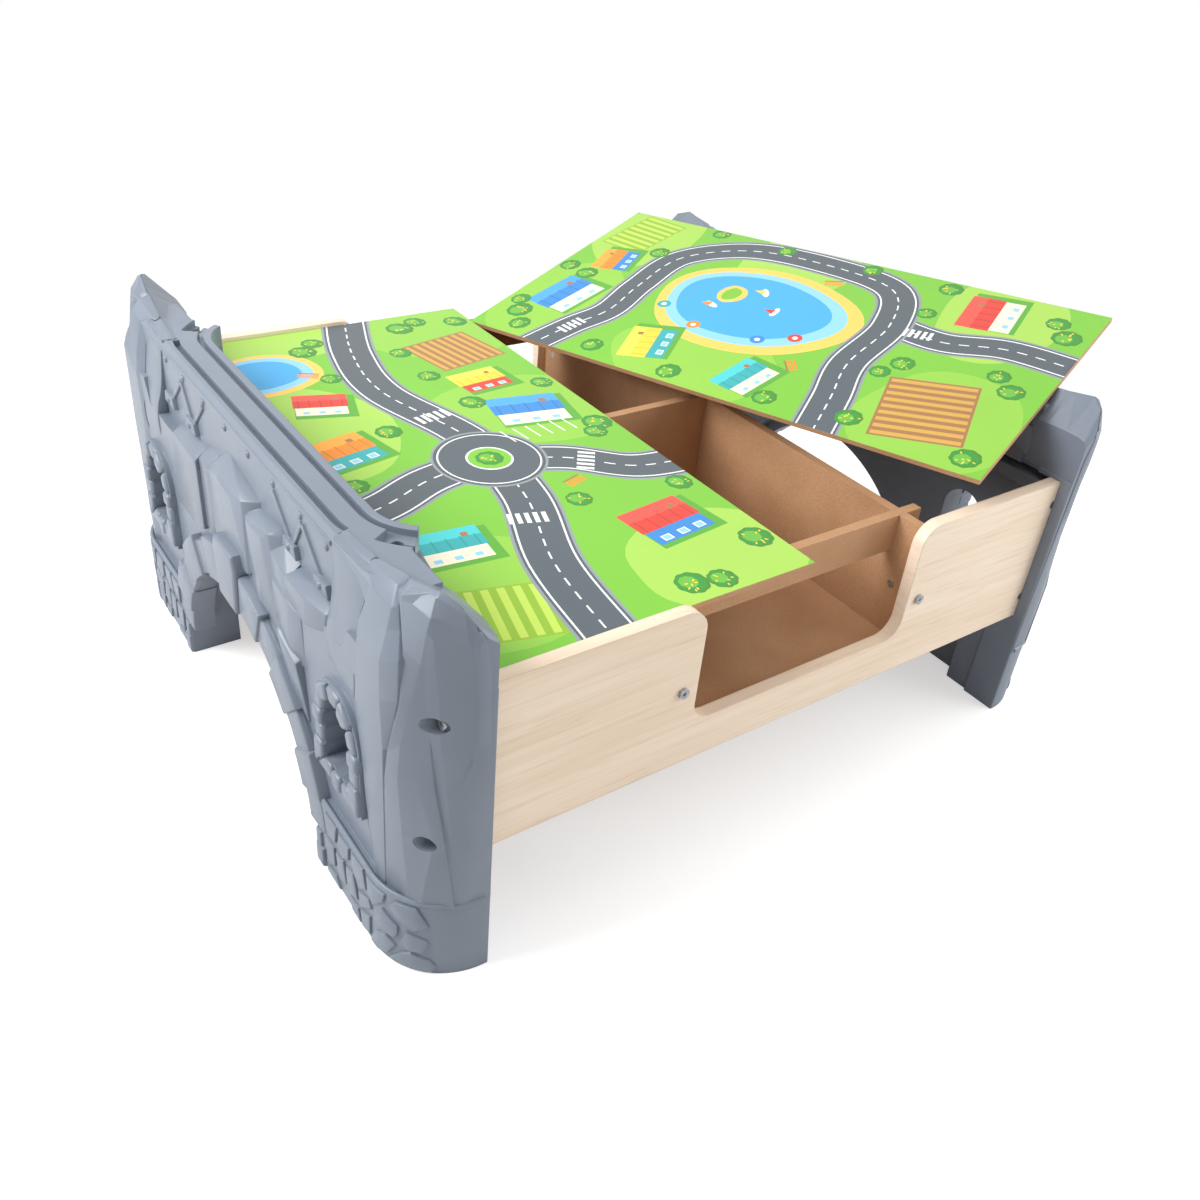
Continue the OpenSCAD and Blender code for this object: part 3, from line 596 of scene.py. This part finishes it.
def softened(grid, times):
    """Corner cutting along both ways of a grid: each span keeps points at its quarters, the rim stays."""
    for _ in range(times):
        for _ in range(2):
            near, far = grid[:-1] * 0.75 + grid[1:] * 0.25, grid[:-1] * 0.25 + grid[1:] * 0.75
            cut = np.stack([near, far], 1).reshape(-1, *grid.shape[1:])
            grid = np.concatenate([grid[:1], cut[1:-1], grid[-1:]]).swapaxes(0, 1)
    return grid


def corner_slabs():
    """Cut rock at both corners, from the towers' ridge to the plinth: a smooth flank off the girder, a slab
    beside the window and a slab round the corner, with a cleft between the two. The backs sink into the
    panel: straight in, towards the corner's axis for the round slab, and down where they reach the ridge."""
    sunk, round_sunk, edge = 16.0, 14.0, 1.7
    parts = []
    axis = np.array([CORNER_A, END_HALF - (ROCK - CORNER_A), 0.0])
    for side in (-1, 1):
        for table in (FLANK, INNER_SLAB, OUTER_SLAB):
            grid = np.array(table, float)
            if table is FLANK:
                grid = softened(grid, 2)
            sink = np.broadcast_to([-sunk, 0, 0], grid.shape)
            if table is OUTER_SLAB:
                inward = (axis - grid) * [1, 1, 0]
                sink = inward / np.linalg.norm(inward, axis=2, keepdims=True) * round_sunk
            sink = np.where(grid[:, :, 2:] > RIDGE_Z, sink * 0.35 + [0, 0, -sunk], sink)
            least = 30.0 if table is FLANK else 5.0
            points, faces = shell(grid * [1, side, 1], sink * [1, side, 1], edge, least)
            parts.append(pocketed(points, faces, side) if table is OUTER_SLAB else (points, faces))
    return parts


def end_panel_pieces(side, end):
    """The groups of one end panel, in the table's axes; the right end is the left one turned half round."""
    groups = {"arch_stones": arch_stones(),
              "window_stones": window_stones(-WINDOW_Y) + window_stones(WINDOW_Y),
              "plinth_stones": plinth_stones(),
              "girder": girder(),
              "rock_slabs": rock_slabs(),
              "corner_slabs": corner_slabs()}
    for group, parts in groups.items():
        name = f"{end}_{group}"
        placed = [(p * [side, -side, 1] + [side * HALF_IN, 0, 0], f) for p, f in parts]
        add_piece(name, joined_mesh(name, placed), [PLASTIC], "frame")


end_panel_pieces(-1, "left")
end_panel_pieces(1, "right")


# Printed boards

GRASS, MEADOW, MOSS, LAWN = (128, 196, 66), (170, 214, 92), (98, 172, 62), (150, 205, 78)
ROAD, KERB, LINE = (92, 101, 107), (150, 158, 160), (250, 250, 248)
WATER, SHALLOW, SAND = (78, 176, 232), (150, 213, 245), (252, 208, 104)
BRICK, ORANGE, YELLOW = (222, 74, 62), (245, 146, 52), (253, 216, 72)
SKY, TEAL, CREAM = (66, 142, 214), (64, 176, 178), (250, 240, 214)
BROWN, WHEAT, PASTURE, SPROUT = (170, 122, 78), (214, 170, 84), (150, 190, 60), (196, 224, 96)
DARK, LEAF, CROWN = (74, 140, 52), (66, 150, 62), (112, 186, 70)


class Sheet:
    """A print drawn in order: each motif is an outline in millimetres on the board, and a colour."""

    def __init__(self, wide, long):
        self.wide, self.long = wide, long
        self.shapes = [(np.array([[0, 0], [wide, 0], [wide, long], [0, long]], float), GRASS)]

    def lay(self, outline, colour):
        """Puts an outline on top of what is there, cut off at the sheet's edges one after the other."""
        pts = [tuple(map(float, p)) for p in outline]
        for axis, limit, keep in ((0, 0, 1), (0, self.wide, -1), (1, 0, 1), (1, self.long, -1)):
            cut = []
            for p, q in zip(pts, pts[1:] + pts[:1]):
                p_in, q_in = (p[axis] - limit) * keep >= 0, (q[axis] - limit) * keep >= 0
                if p_in:
                    cut.append(p)
                if p_in != q_in:
                    t = (limit - p[axis]) / (q[axis] - p[axis])
                    cut.append(tuple(u + (v - u) * t for u, v in zip(p, q)))
            pts = cut
        if len(pts) >= 3:
            self.shapes.append((np.array(pts), colour))

    def blob(self, x, y, rx, ry, colour, seed, rough=0.12, count=36, turn=0.0):
        """A soft patch: an ellipse whose radius is rippled by three seeded waves."""
        rng = np.random.default_rng(seed)
        t = full_turn(count)
        r = 1 + sum(rough / k * rng.uniform(0.4, 1) * np.cos(k * t + rng.uniform(0, 6.3)) for k in (2, 3, 5))
        px, py = rx * r * np.cos(t), ry * r * np.sin(t)
        c, s = math.cos(turn), math.sin(turn)
        self.lay(np.column_stack([x + c * px - s * py, y + s * px + c * py]), colour)

    def disc(self, x, y, r, colour, count=28):
        """A circle."""
        t = full_turn(count)
        self.lay(np.column_stack([x + r * np.cos(t), y + r * np.sin(t)]), colour)

    def box(self, x, y, wide, long, turn, colour):
        """A rectangle about its middle, turned."""
        c, s = math.cos(turn), math.sin(turn)
        quad = np.array([[-wide, -long], [wide, -long], [wide, long], [-wide, long]]) / 2
        self.lay(quad @ np.array([[c, s], [-s, c]]) + [x, y], colour)

    def strip(self, path, wide, colour, shift=0.0, start=0.0, end=None):
        """A band along a path between two lengths: the path moved to both sides along its normals."""
        step = np.diff(path, axis=0)
        length = np.concatenate([[0], np.cumsum(np.linalg.norm(step, axis=1))])
        end = length[-1] if end is None else min(end, length[-1])
        at = np.unique(np.concatenate([[start], length[(length > start) & (length < end)], [end]]))
        mid = np.column_stack([np.interp(at, length, path[:, k]) for k in (0, 1)])
        tangent = np.gradient(path, axis=0)
        tangent = np.column_stack([np.interp(at, length, tangent[:, k]) for k in (0, 1)])
        tangent = tangent / np.linalg.norm(tangent, axis=1, keepdims=True)
        normal = np.column_stack([-tangent[:, 1], tangent[:, 0]])
        near, far = mid + normal * (shift - wide / 2), mid + normal * (shift + wide / 2)
        self.lay(np.concatenate([far, near[::-1]]), colour)

    def road(self, path, wide):
        """A road: grey band, kerb lines on both sides and a dashed middle line."""
        self.strip(path, wide + 7, KERB)
        self.strip(path, wide, ROAD)
        for side in (-1, 1):
            self.strip(path, 2.2, LINE, shift=side * (wide / 2 - 4))
        total = np.sum(np.linalg.norm(np.diff(path, axis=0), axis=1))
        for s in np.arange(6, total - 8, 24):
            self.strip(path, 2.0, LINE, start=s, end=s + 13)

    def zebra(self, x, y, wide, turn, count=5):
        """A crossing: white bars side by side."""
        for k in range(count):
            off = (k - (count - 1) / 2) * wide / count
            self.box(x - math.sin(turn) * off, y + math.cos(turn) * off, 20, wide / count * 0.55, turn, LINE)

    def tree(self, x, y, r, seed):
        """A tree from above: a scalloped crown in three greens, flecked with yellow leaves."""
        rng = np.random.default_rng(seed)
        t = full_turn(40)
        for grow, colour, dx in ((1.0, DARK, 0), (0.86, LEAF, -0.06), (0.55, CROWN, -0.16)):
            ring = r * grow * (1 + 0.09 * np.abs(np.sin(4.5 * t + seed)))
            self.lay(np.column_stack([x + dx * r + ring * np.cos(t), y - dx * r + ring * np.sin(t)]), colour)
        for _ in range(7):
            a, d = rng.uniform(0, 6.28), r * rng.uniform(0.2, 0.8)
            self.blob(x + d * math.cos(a), y + d * math.sin(a), r * 0.13, r * 0.06, YELLOW, seed, 0, 8, a)

    def house(self, x, y, wide, long, turn, roof, wall):
        """A cottage from above: shadow, wall with windows, two roof slopes and a chimney."""
        c, s = math.cos(turn), math.sin(turn)

        def place(px, py):
            return x + c * px - s * py, y + s * px + c * py

        self.box(*place(5, -9), wide + 8, long + 10, turn, MOSS)
        self.box(*place(0, -long * 0.36), wide * 0.94, long * 0.5, turn, wall)
        for k in (-0.28, 0.0, 0.28):
            self.box(*place(k * wide, -long * 0.47), wide * 0.15, long * 0.16, turn, CREAM)
            self.box(*place(k * wide, -long * 0.47), wide * 0.11, long * 0.12, turn, SHALLOW)
        light = tuple(min(255, int(v * 1.12 + 12)) for v in roof)
        seam = tuple(int(v * 0.86) for v in roof)
        self.box(*place(0, 0.0), wide, long * 0.4, turn, roof)
        self.box(*place(0, long * 0.33), wide, long * 0.32, turn, light)
        for k in range(5):
            self.box(*place((k - 2) * wide * 0.2, 0.0), wide * 0.02, long * 0.4, turn, seam)
        self.box(*place(wide * 0.28, long * 0.24), wide * 0.1, wide * 0.1, turn, BROWN)

    def field(self, x, y, wide, long, turn, soil, crop, rows):
        """A ploughed field: soil with even crop rows."""
        self.box(x, y, wide, long, turn, soil)
        c, s = math.cos(turn), math.sin(turn)
        for k in range(rows):
            off = ((k + 0.5) / rows - 0.5) * wide
            self.box(x + c * off, y + s * off, wide / rows * 0.5, long * 0.94, turn, crop)

    def bench(self, x, y, turn):
        """A slatted bench."""
        c, s = math.cos(turn), math.sin(turn)
        for k in range(4):
            self.box(x - s * (k * 4 - 6), y + c * (k * 4 - 6), 26, 2.6, turn, ORANGE if k < 3 else BROWN)


def smooth_path(points, count=60):
    """A smooth path through points: cubic segments with tangents from the neighbours."""
    pts = np.asarray(points, float)
    ext = np.vstack([2 * pts[0] - pts[1], pts, 2 * pts[-1] - pts[-2]])
    t = np.linspace(0, len(pts) - 1, count)
    i = np.minimum(t.astype(int), len(pts) - 2)
    u = (t - i)[:, None]
    p0, p1, p2, p3 = ext[i], ext[i + 1], ext[i + 2], ext[i + 3]
    return 0.5 * (2 * p1 + (p2 - p0) * u + (2 * p0 - 5 * p1 + 4 * p2 - p3) * u ** 2
                  + (3 * p1 - p0 - 3 * p2 + p3) * u ** 3)


def meadows(sheet, patches, seed):
    """Soft patches of two greens, taken in turn."""
    for k, (x, y, rx, ry) in enumerate(patches):
        sheet.blob(x, y, rx, ry, MEADOW if k % 2 else LAWN, seed + k)


def trees(sheet, places, seed):
    """Trees at (across, along, radius), each with its own seed."""
    for k, (x, y, r) in enumerate(places):
        sheet.tree(x, y, r, seed + k)


def village_sheet(wide, long):
    """Left print: a north-south street with a roundabout, cottages, a pond and ploughed fields."""
    sheet = Sheet(wide, long)
    meadows(sheet, [(80, 110, 120, 90), (330, 60, 110, 80), (330, 430, 120, 95), (70, 470, 100, 120),
                    (340, 690, 110, 90), (120, 730, 130, 60)], 20)
    sheet.blob(78, 640, 74, 62, SAND, 5)
    sheet.blob(76, 641, 64, 52, SHALLOW, 5)
    sheet.blob(74, 642, 52, 41, WATER, 5)
    sheet.field(332, 620, 104, 92, 0.2, BROWN, WHEAT, 8)
    sheet.field(92, 70, 110, 84, -0.25, PASTURE, SPROUT, 7)
    street = smooth_path([(150, -20), (170, 120), (215, 250), (225, 390), (190, 540), (205, 660), (250, 790)])
    lane = smooth_path([(225, 330), (300, 300), (360, 250), (430, 236)], 30)
    track = smooth_path([(-20, 270), (70, 290), (140, 320), (225, 335)], 30)
    for path in (lane, track, street):
        sheet.road(path, 58)
    for r, colour, count in ((66, KERB, 48), (63, ROAD, 48), (59, LINE, 48), (57, ROAD, 48), (27, LINE, 40),
                             (24.5, GRASS, 40)):
        sheet.disc(222, 335, r, colour, count)
    sheet.tree(222, 335, 15, 3)
    sheet.zebra(192, 205, 46, 1.25)
    sheet.zebra(214, 455, 46, 1.75)
    sheet.zebra(318, 284, 46, -0.62)
    for values in ((320, 140, 84, 62, 0.12, BRICK, SKY),
                   (330, 430, 92, 66, -0.18, SKY, CREAM),
                   (82, 420, 80, 62, 0.2, ORANGE, TEAL),
                   (96, 196, 76, 54, -0.1, TEAL, CREAM),
                   (318, 528, 70, 50, 0.1, YELLOW, BRICK),
                   (110, 540, 64, 50, -0.3, BRICK, CREAM)):
        sheet.house(*values)
    trees(sheet, [(270, 30, 17), (302, 22, 15), (384, 66, 18), (384, 196, 15), (262, 214, 14),
                  (36, 150, 17), (40, 352, 18), (64, 340, 14), (150, 440, 15), (276, 470, 16),
                  (386, 360, 18), (370, 340, 14), (264, 560, 14), (150, 690, 17), (172, 712, 14),
                  (30, 560, 16), (300, 716, 18), (330, 730, 15), (384, 712, 16), (24, 20, 16),
                  (386, 486, 14), (150, 600, 13), (40, 720, 16), (264, 640, 14)], 40)
    sheet.bench(280, 250, 0.3)
    sheet.bench(128, 620, -0.5)
    for k in range(6):
        sheet.box(268 + k * 17, 372, 2, 30, 0.12, LINE)
    return sheet


def lakeside_sheet(wide, long):
    """Right print: a lake with a sandy shore, a road round it, a farm and orchards."""
    sheet = Sheet(wide, long)
    meadows(sheet, [(80, 90, 110, 100), (340, 120, 120, 80), (60, 420, 90, 120), (350, 430, 100, 90),
                    (110, 690, 130, 80), (340, 690, 110, 80)], 60)
    sheet.blob(214, 420, 118, 148, SAND, 71, 0.1, 48)
    sheet.blob(216, 424, 100, 130, SHALLOW, 71, 0.1, 48)
    sheet.blob(218, 428, 84, 112, WATER, 71, 0.1, 48)
    sheet.blob(238, 470, 26, 20, SAND, 74, 0.1, 24)
    sheet.blob(238, 471, 18, 13, GRASS, 75, 0.1, 24)
    ring = smooth_path([(-20, 640), (60, 620), (120, 600), (200, 606), (300, 600), (366, 520), (376, 400),
                        (350, 280), (260, 238), (150, 240), (70, 220), (-20, 200)], 110)
    spur = smooth_path([(262, 240), (250, 160), (270, 80), (262, -20)], 30)
    sheet.road(spur, 52)
    sheet.road(ring, 54)
    sheet.zebra(254, 196, 42, 0.1)
    sheet.zebra(60, 620, 42, 1.35)
    sheet.field(96, 110, 130, 110, 0.25, BROWN, WHEAT, 9)
    sheet.field(342, 700, 110, 78, -0.15, PASTURE, SPROUT, 8)
    for values in ((344, 140, 86, 64, 0.1, BRICK, CREAM),
                   (70, 500, 78, 58, 0.3, YELLOW, TEAL),
                   (130, 690, 92, 66, -0.12, SKY, CREAM),
                   (250, 690, 64, 52, 0.2, ORANGE, SKY),
                   (60, 340, 72, 52, -0.2, TEAL, CREAM)):
        sheet.house(*values)
    for k, (x, y) in enumerate([(172, 330), (146, 372), (140, 470), (170, 540)]):
        sheet.disc(x, y, 10, (BRICK, SKY, ORANGE, TEAL)[k], 20)
        sheet.disc(x, y, 4, LINE, 14)
    for k, (x, y) in enumerate([(220, 390), (262, 430), (200, 480)]):
        sheet.blob(x, y, 12, 5, CREAM, 80 + k, 0, 16, 0.6 * k)
        sheet.lay([(x - 6, y + 2), (x + 7, y + 2), (x, y + 17)], (BRICK, YELLOW, ORANGE)[k])
    trees(sheet, [(30, 30, 17), (180, 40, 16), (206, 66, 14), (330, 30, 18), (360, 52, 15),
                  (386, 210, 16), (30, 290, 15), (24, 430, 16), (30, 560, 15), (390, 330, 14),
                  (396, 590, 14), (196, 700, 16), (60, 716, 18), (86, 736, 14), (300, 640, 15),
                  (180, 180, 15), (150, 196, 13), (390, 470, 13), (30, 690, 15), (206, 740, 15),
                  (310, 210, 13), (40, 180, 16)], 90)
    sheet.bench(110, 300, 0.7)
    sheet.bench(330, 360, -1.2)
    return sheet


def covers(outline, points):
    """Which points lie inside an outline, by counting the edges crossed on a line to the right."""
    x, y = points[:, 0], points[:, 1]
    hit = np.zeros(len(points), bool)
    for (x0, y0), (x1, y1) in zip(outline, np.roll(outline, -1, axis=0)):
        if y0 != y1:
            hit ^= ((y0 > y) != (y1 > y)) & (x < (x1 - x0) * (y - y0) / (y1 - y0) + x0)
    return hit


def board_mesh(name, sheet, thick, place):
    """A printed board: the print's outlines cut into flat triangles, each inked by the topmost motif that
    covers its middle, with walls and an underside along the sheet's rim."""
    corners, lines = [], []
    for outline, _ in sheet.shapes:
        start, n = len(corners), len(outline)
        lines += [(start + k, start + (k + 1) % n) for k in range(n)]
        corners += [Vector(p) for p in outline]
    verts, _, faces, _, _, _ = delaunay_2d_cdt(corners, lines, [], 0, 1e-3)
    pts = np.array([[v.x, v.y] for v in verts])
    tris = np.array([list(f) for f in faces])
    a, b, c = pts[tris[:, 0]], pts[tris[:, 1]], pts[tris[:, 2]]
    turn = (b[:, 0] - a[:, 0]) * (c[:, 1] - a[:, 1]) - (b[:, 1] - a[:, 1]) * (c[:, 0] - a[:, 0])
    tris[turn < 0] = tris[turn < 0][:, ::-1]
    mid = (a + b + c) / 3
    inks = np.zeros(len(tris), int)
    for k, (outline, _) in enumerate(sheet.shapes):
        near = np.flatnonzero(np.all((mid >= outline.min(0)) & (mid <= outline.max(0)), axis=1))
        inks[near[covers(outline, mid[near])]] = k
    tris = tris.tolist()
    used = {(p, q) for tri in tris for p, q in zip(tri, tri[1:] + tri[:1])}
    after = {p: q for p, q in used if (q, p) not in used}
    loop = [next(iter(after))]
    while after[loop[-1]] != loop[0]:
        loop.append(after[loop[-1]])
    n = len(pts)
    low = {v: n + k for k, v in enumerate(loop)}
    solid = np.concatenate([np.column_stack([pts, np.full(n, thick)]),
                            np.column_stack([pts[loop], np.zeros(len(loop))])])
    walls = [[low[p], low[q], q, p] for p, q in after.items()]
    mesh = bpy.data.meshes.new(name)
    mesh.from_pydata(place(solid).tolist(), [], tris + walls + [[low[v] for v in loop][::-1]])
    shades = np.array([tone(*c) for _, c in sheet.shapes])
    face_ink = np.concatenate([shades[inks], np.tile(np.array(tone(*BROWN)), (len(walls) + 1, 1))])
    colours = np.repeat(face_ink, [p.loop_total for p in mesh.polygons], axis=0)
    layer = mesh.color_attributes.new("print", "FLOAT_COLOR", "CORNER")
    layer.data.foreach_set("color", colours.ravel())
    mesh.polygons.foreach_set("material_index", np.array([0] * len(tris) + [1] * (len(walls) + 1)))
    return mesh


def left_place(pts):
    """Board millimetres to the left seat: from the slot to the middle, near to far, standing on the seat."""
    lo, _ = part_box("left_play_board")
    return np.array(lo) + pts * MM


def right_place(pts):
    """Board millimetres to the lifted board: along the box's own edges from its low near corner."""
    node = NODES["right_play_board"]
    co = np.empty(len(node.data.vertices) * 3)
    node.data.vertices.foreach_get("co", co)
    co = np.unique(co.reshape(-1, 3).round(6), axis=0)
    mid = co.mean(0)
    _, _, axes = np.linalg.svd(co - mid)
    long, wide = axes[0] * np.sign(axes[0][1]), axes[1] * np.sign(axes[1][0])
    up = np.cross(wide, long)
    size = [np.ptp((co - mid) @ d) for d in (wide, long, up)]
    origin = mid - sum(d * s / 2 for d, s in zip((wide, long, up), size))
    return origin + (pts * MM) @ np.array([wide, long, up])


BOARD_WIDE, BOARD_LONG, BOARD_THICK = 406.0, 758.0, 6.0
for side, drawn, place in (("left", village_sheet, left_place), ("right", lakeside_sheet, right_place)):
    name = f"{side}_printed_board"
    board = board_mesh(name, drawn(BOARD_WIDE, BOARD_LONG), BOARD_THICK, place)
    add_piece(name, board, [PRINT, FIBRE], f"{side}_board", [f"{side}_play_board"])


# CAD nodes that keep their shape

KEPT_NODES = {"left_end_panel": PLASTIC, "right_end_panel": PLASTIC,
              "front_side_panel": MAPLE, "back_side_panel": MAPLE,
              "left_partition": FIBRE, "right_partition": FIBRE, "front_rail": FIBRE, "back_rail": FIBRE,
              "centre_divider": FIBRE, "bin_floor": FIBRE,
              "end_bolts": ZINC, "end_barrel_nuts": ZINC,
              "partition_bolts": ZINC, "partition_barrel_nuts": ZINC}
for name, mat in KEPT_NODES.items():
    node = NODES[name]
    if not node.material_slots:
        node.data.materials.append(mat)
    for slot in node.material_slots:
        slot.material = mat


# Stage, light and camera

def studio_floor():
    """A wide white floor that keeps the table's shadow and reads as white paper to the camera further out."""
    mat, tree, shader, coords = new_finish("white_floor", 0.9, 0.1)
    shader.inputs["Base Color"].default_value = (0.76, 0.76, 0.76, 1)
    camera_ray = wired(tree, "LightPath", {}).outputs["Is Camera Ray"]
    glow = wired(tree, "Emission", {"Strength": ranged(tree, camera_ray, 0.0, 0.5)})
    lit = wired(tree, "AddShader", {0: shader.outputs[0], 1: glow.outputs[0]})
    reach = wired(tree, "VectorMath", {0: coords}, operation="LENGTH").outputs["Value"]
    far = wired(tree, "MapRange", {"Value": reach, "From Min": 0.75, "From Max": 1.5},
                interpolation_type="SMOOTHSTEP").outputs["Result"]
    seen = wired(tree, "Math", {0: far, 1: camera_ray}, operation="MULTIPLY").outputs[0]
    paper = wired(tree, "Emission", {})
    blend = wired(tree, "MixShader", {0: seen, 1: lit.outputs[0], 2: paper.outputs[0]})
    tree.links.new(blend.outputs[0], tree.nodes["Material Output"].inputs["Surface"])
    mesh = bpy.data.meshes.new("floor")
    mesh.from_pydata([(-30, -30, 0), (30, -30, 0), (30, 30, 0), (-30, 30, 0)], [], [(0, 1, 2, 3)])
    mesh.materials.append(mat)
    obj = bpy.data.objects.new("floor", mesh)
    scene.collection.objects.link(obj)


def studio_world():
    """Even pale surroundings; what the camera, gloss and glass see directly is white."""
    world = bpy.data.worlds.new("studio")
    scene.world = world
    world.use_nodes = True
    tree = world.node_tree
    back = tree.nodes["Background"]
    back.inputs["Color"].default_value = (1, 1, 1, 1)
    path = wired(tree, "LightPath", {})
    seen = path.outputs["Is Camera Ray"]
    for ray in ("Is Glossy Ray", "Is Transmission Ray"):
        seen = wired(tree, "Math", {0: seen, 1: path.outputs[ray]}, operation="MAXIMUM").outputs[0]
    tree.links.new(ranged(tree, seen, 0.42, 1.0), back.inputs["Strength"])


def softbox(name, place, aim, size, power):
    """A square area lamp that faces a point."""
    lamp = bpy.data.lights.new(name, "AREA")
    lamp.energy = power
    lamp.size = size
    obj = bpy.data.objects.new(name, lamp)
    obj.location = place
    obj.rotation_euler = (Vector(aim) - Vector(place)).to_track_quat("-Z", "Y").to_euler()
    scene.collection.objects.link(obj)


def photo_camera():
    """The photograph's view: eye and aim in metres, a slight roll, its focal length and off-centre middle."""
    eye, aim = Vector((-0.7585, -1.0031, 0.9244)), Vector((-0.12634, -0.21584, 0.25))
    roll = math.radians(6.2135)
    focal, picture = 1115.71, 1200
    ahead = (aim - eye).normalized()
    level = ahead.cross(Vector((0, 0, 1))).normalized()
    rise = level.cross(ahead)
    right = level * math.cos(roll) + rise * math.sin(roll)
    up = rise * math.cos(roll) - level * math.sin(roll)
    cam = bpy.data.cameras.new("photo_camera")
    cam.sensor_width = 36
    cam.lens = cam.sensor_width * focal / picture
    cam.shift_x = -0.01121
    cam.shift_y = -0.01408
    cam.clip_end = 200
    obj = bpy.data.objects.new("photo_camera", cam)
    obj.matrix_world = Matrix([[right.x, up.x, -ahead.x, eye.x], [right.y, up.y, -ahead.y, eye.y],
                               [right.z, up.z, -ahead.z, eye.z], [0, 0, 0, 1]])
    scene.collection.objects.link(obj)
    scene.camera = obj


studio_floor()
studio_world()
softbox("overhead", (-0.2, 0.3, 2.6), (0, 0, 0.3), 2.2, 18)
softbox("left", (-2.0, 0.6, 1.8), (0, 0, 0.3), 1.5, 66)
softbox("right_front", (1.9, -1.4, 1.15), (0.3, 0, 0.2), 2.2, 41)
photo_camera()
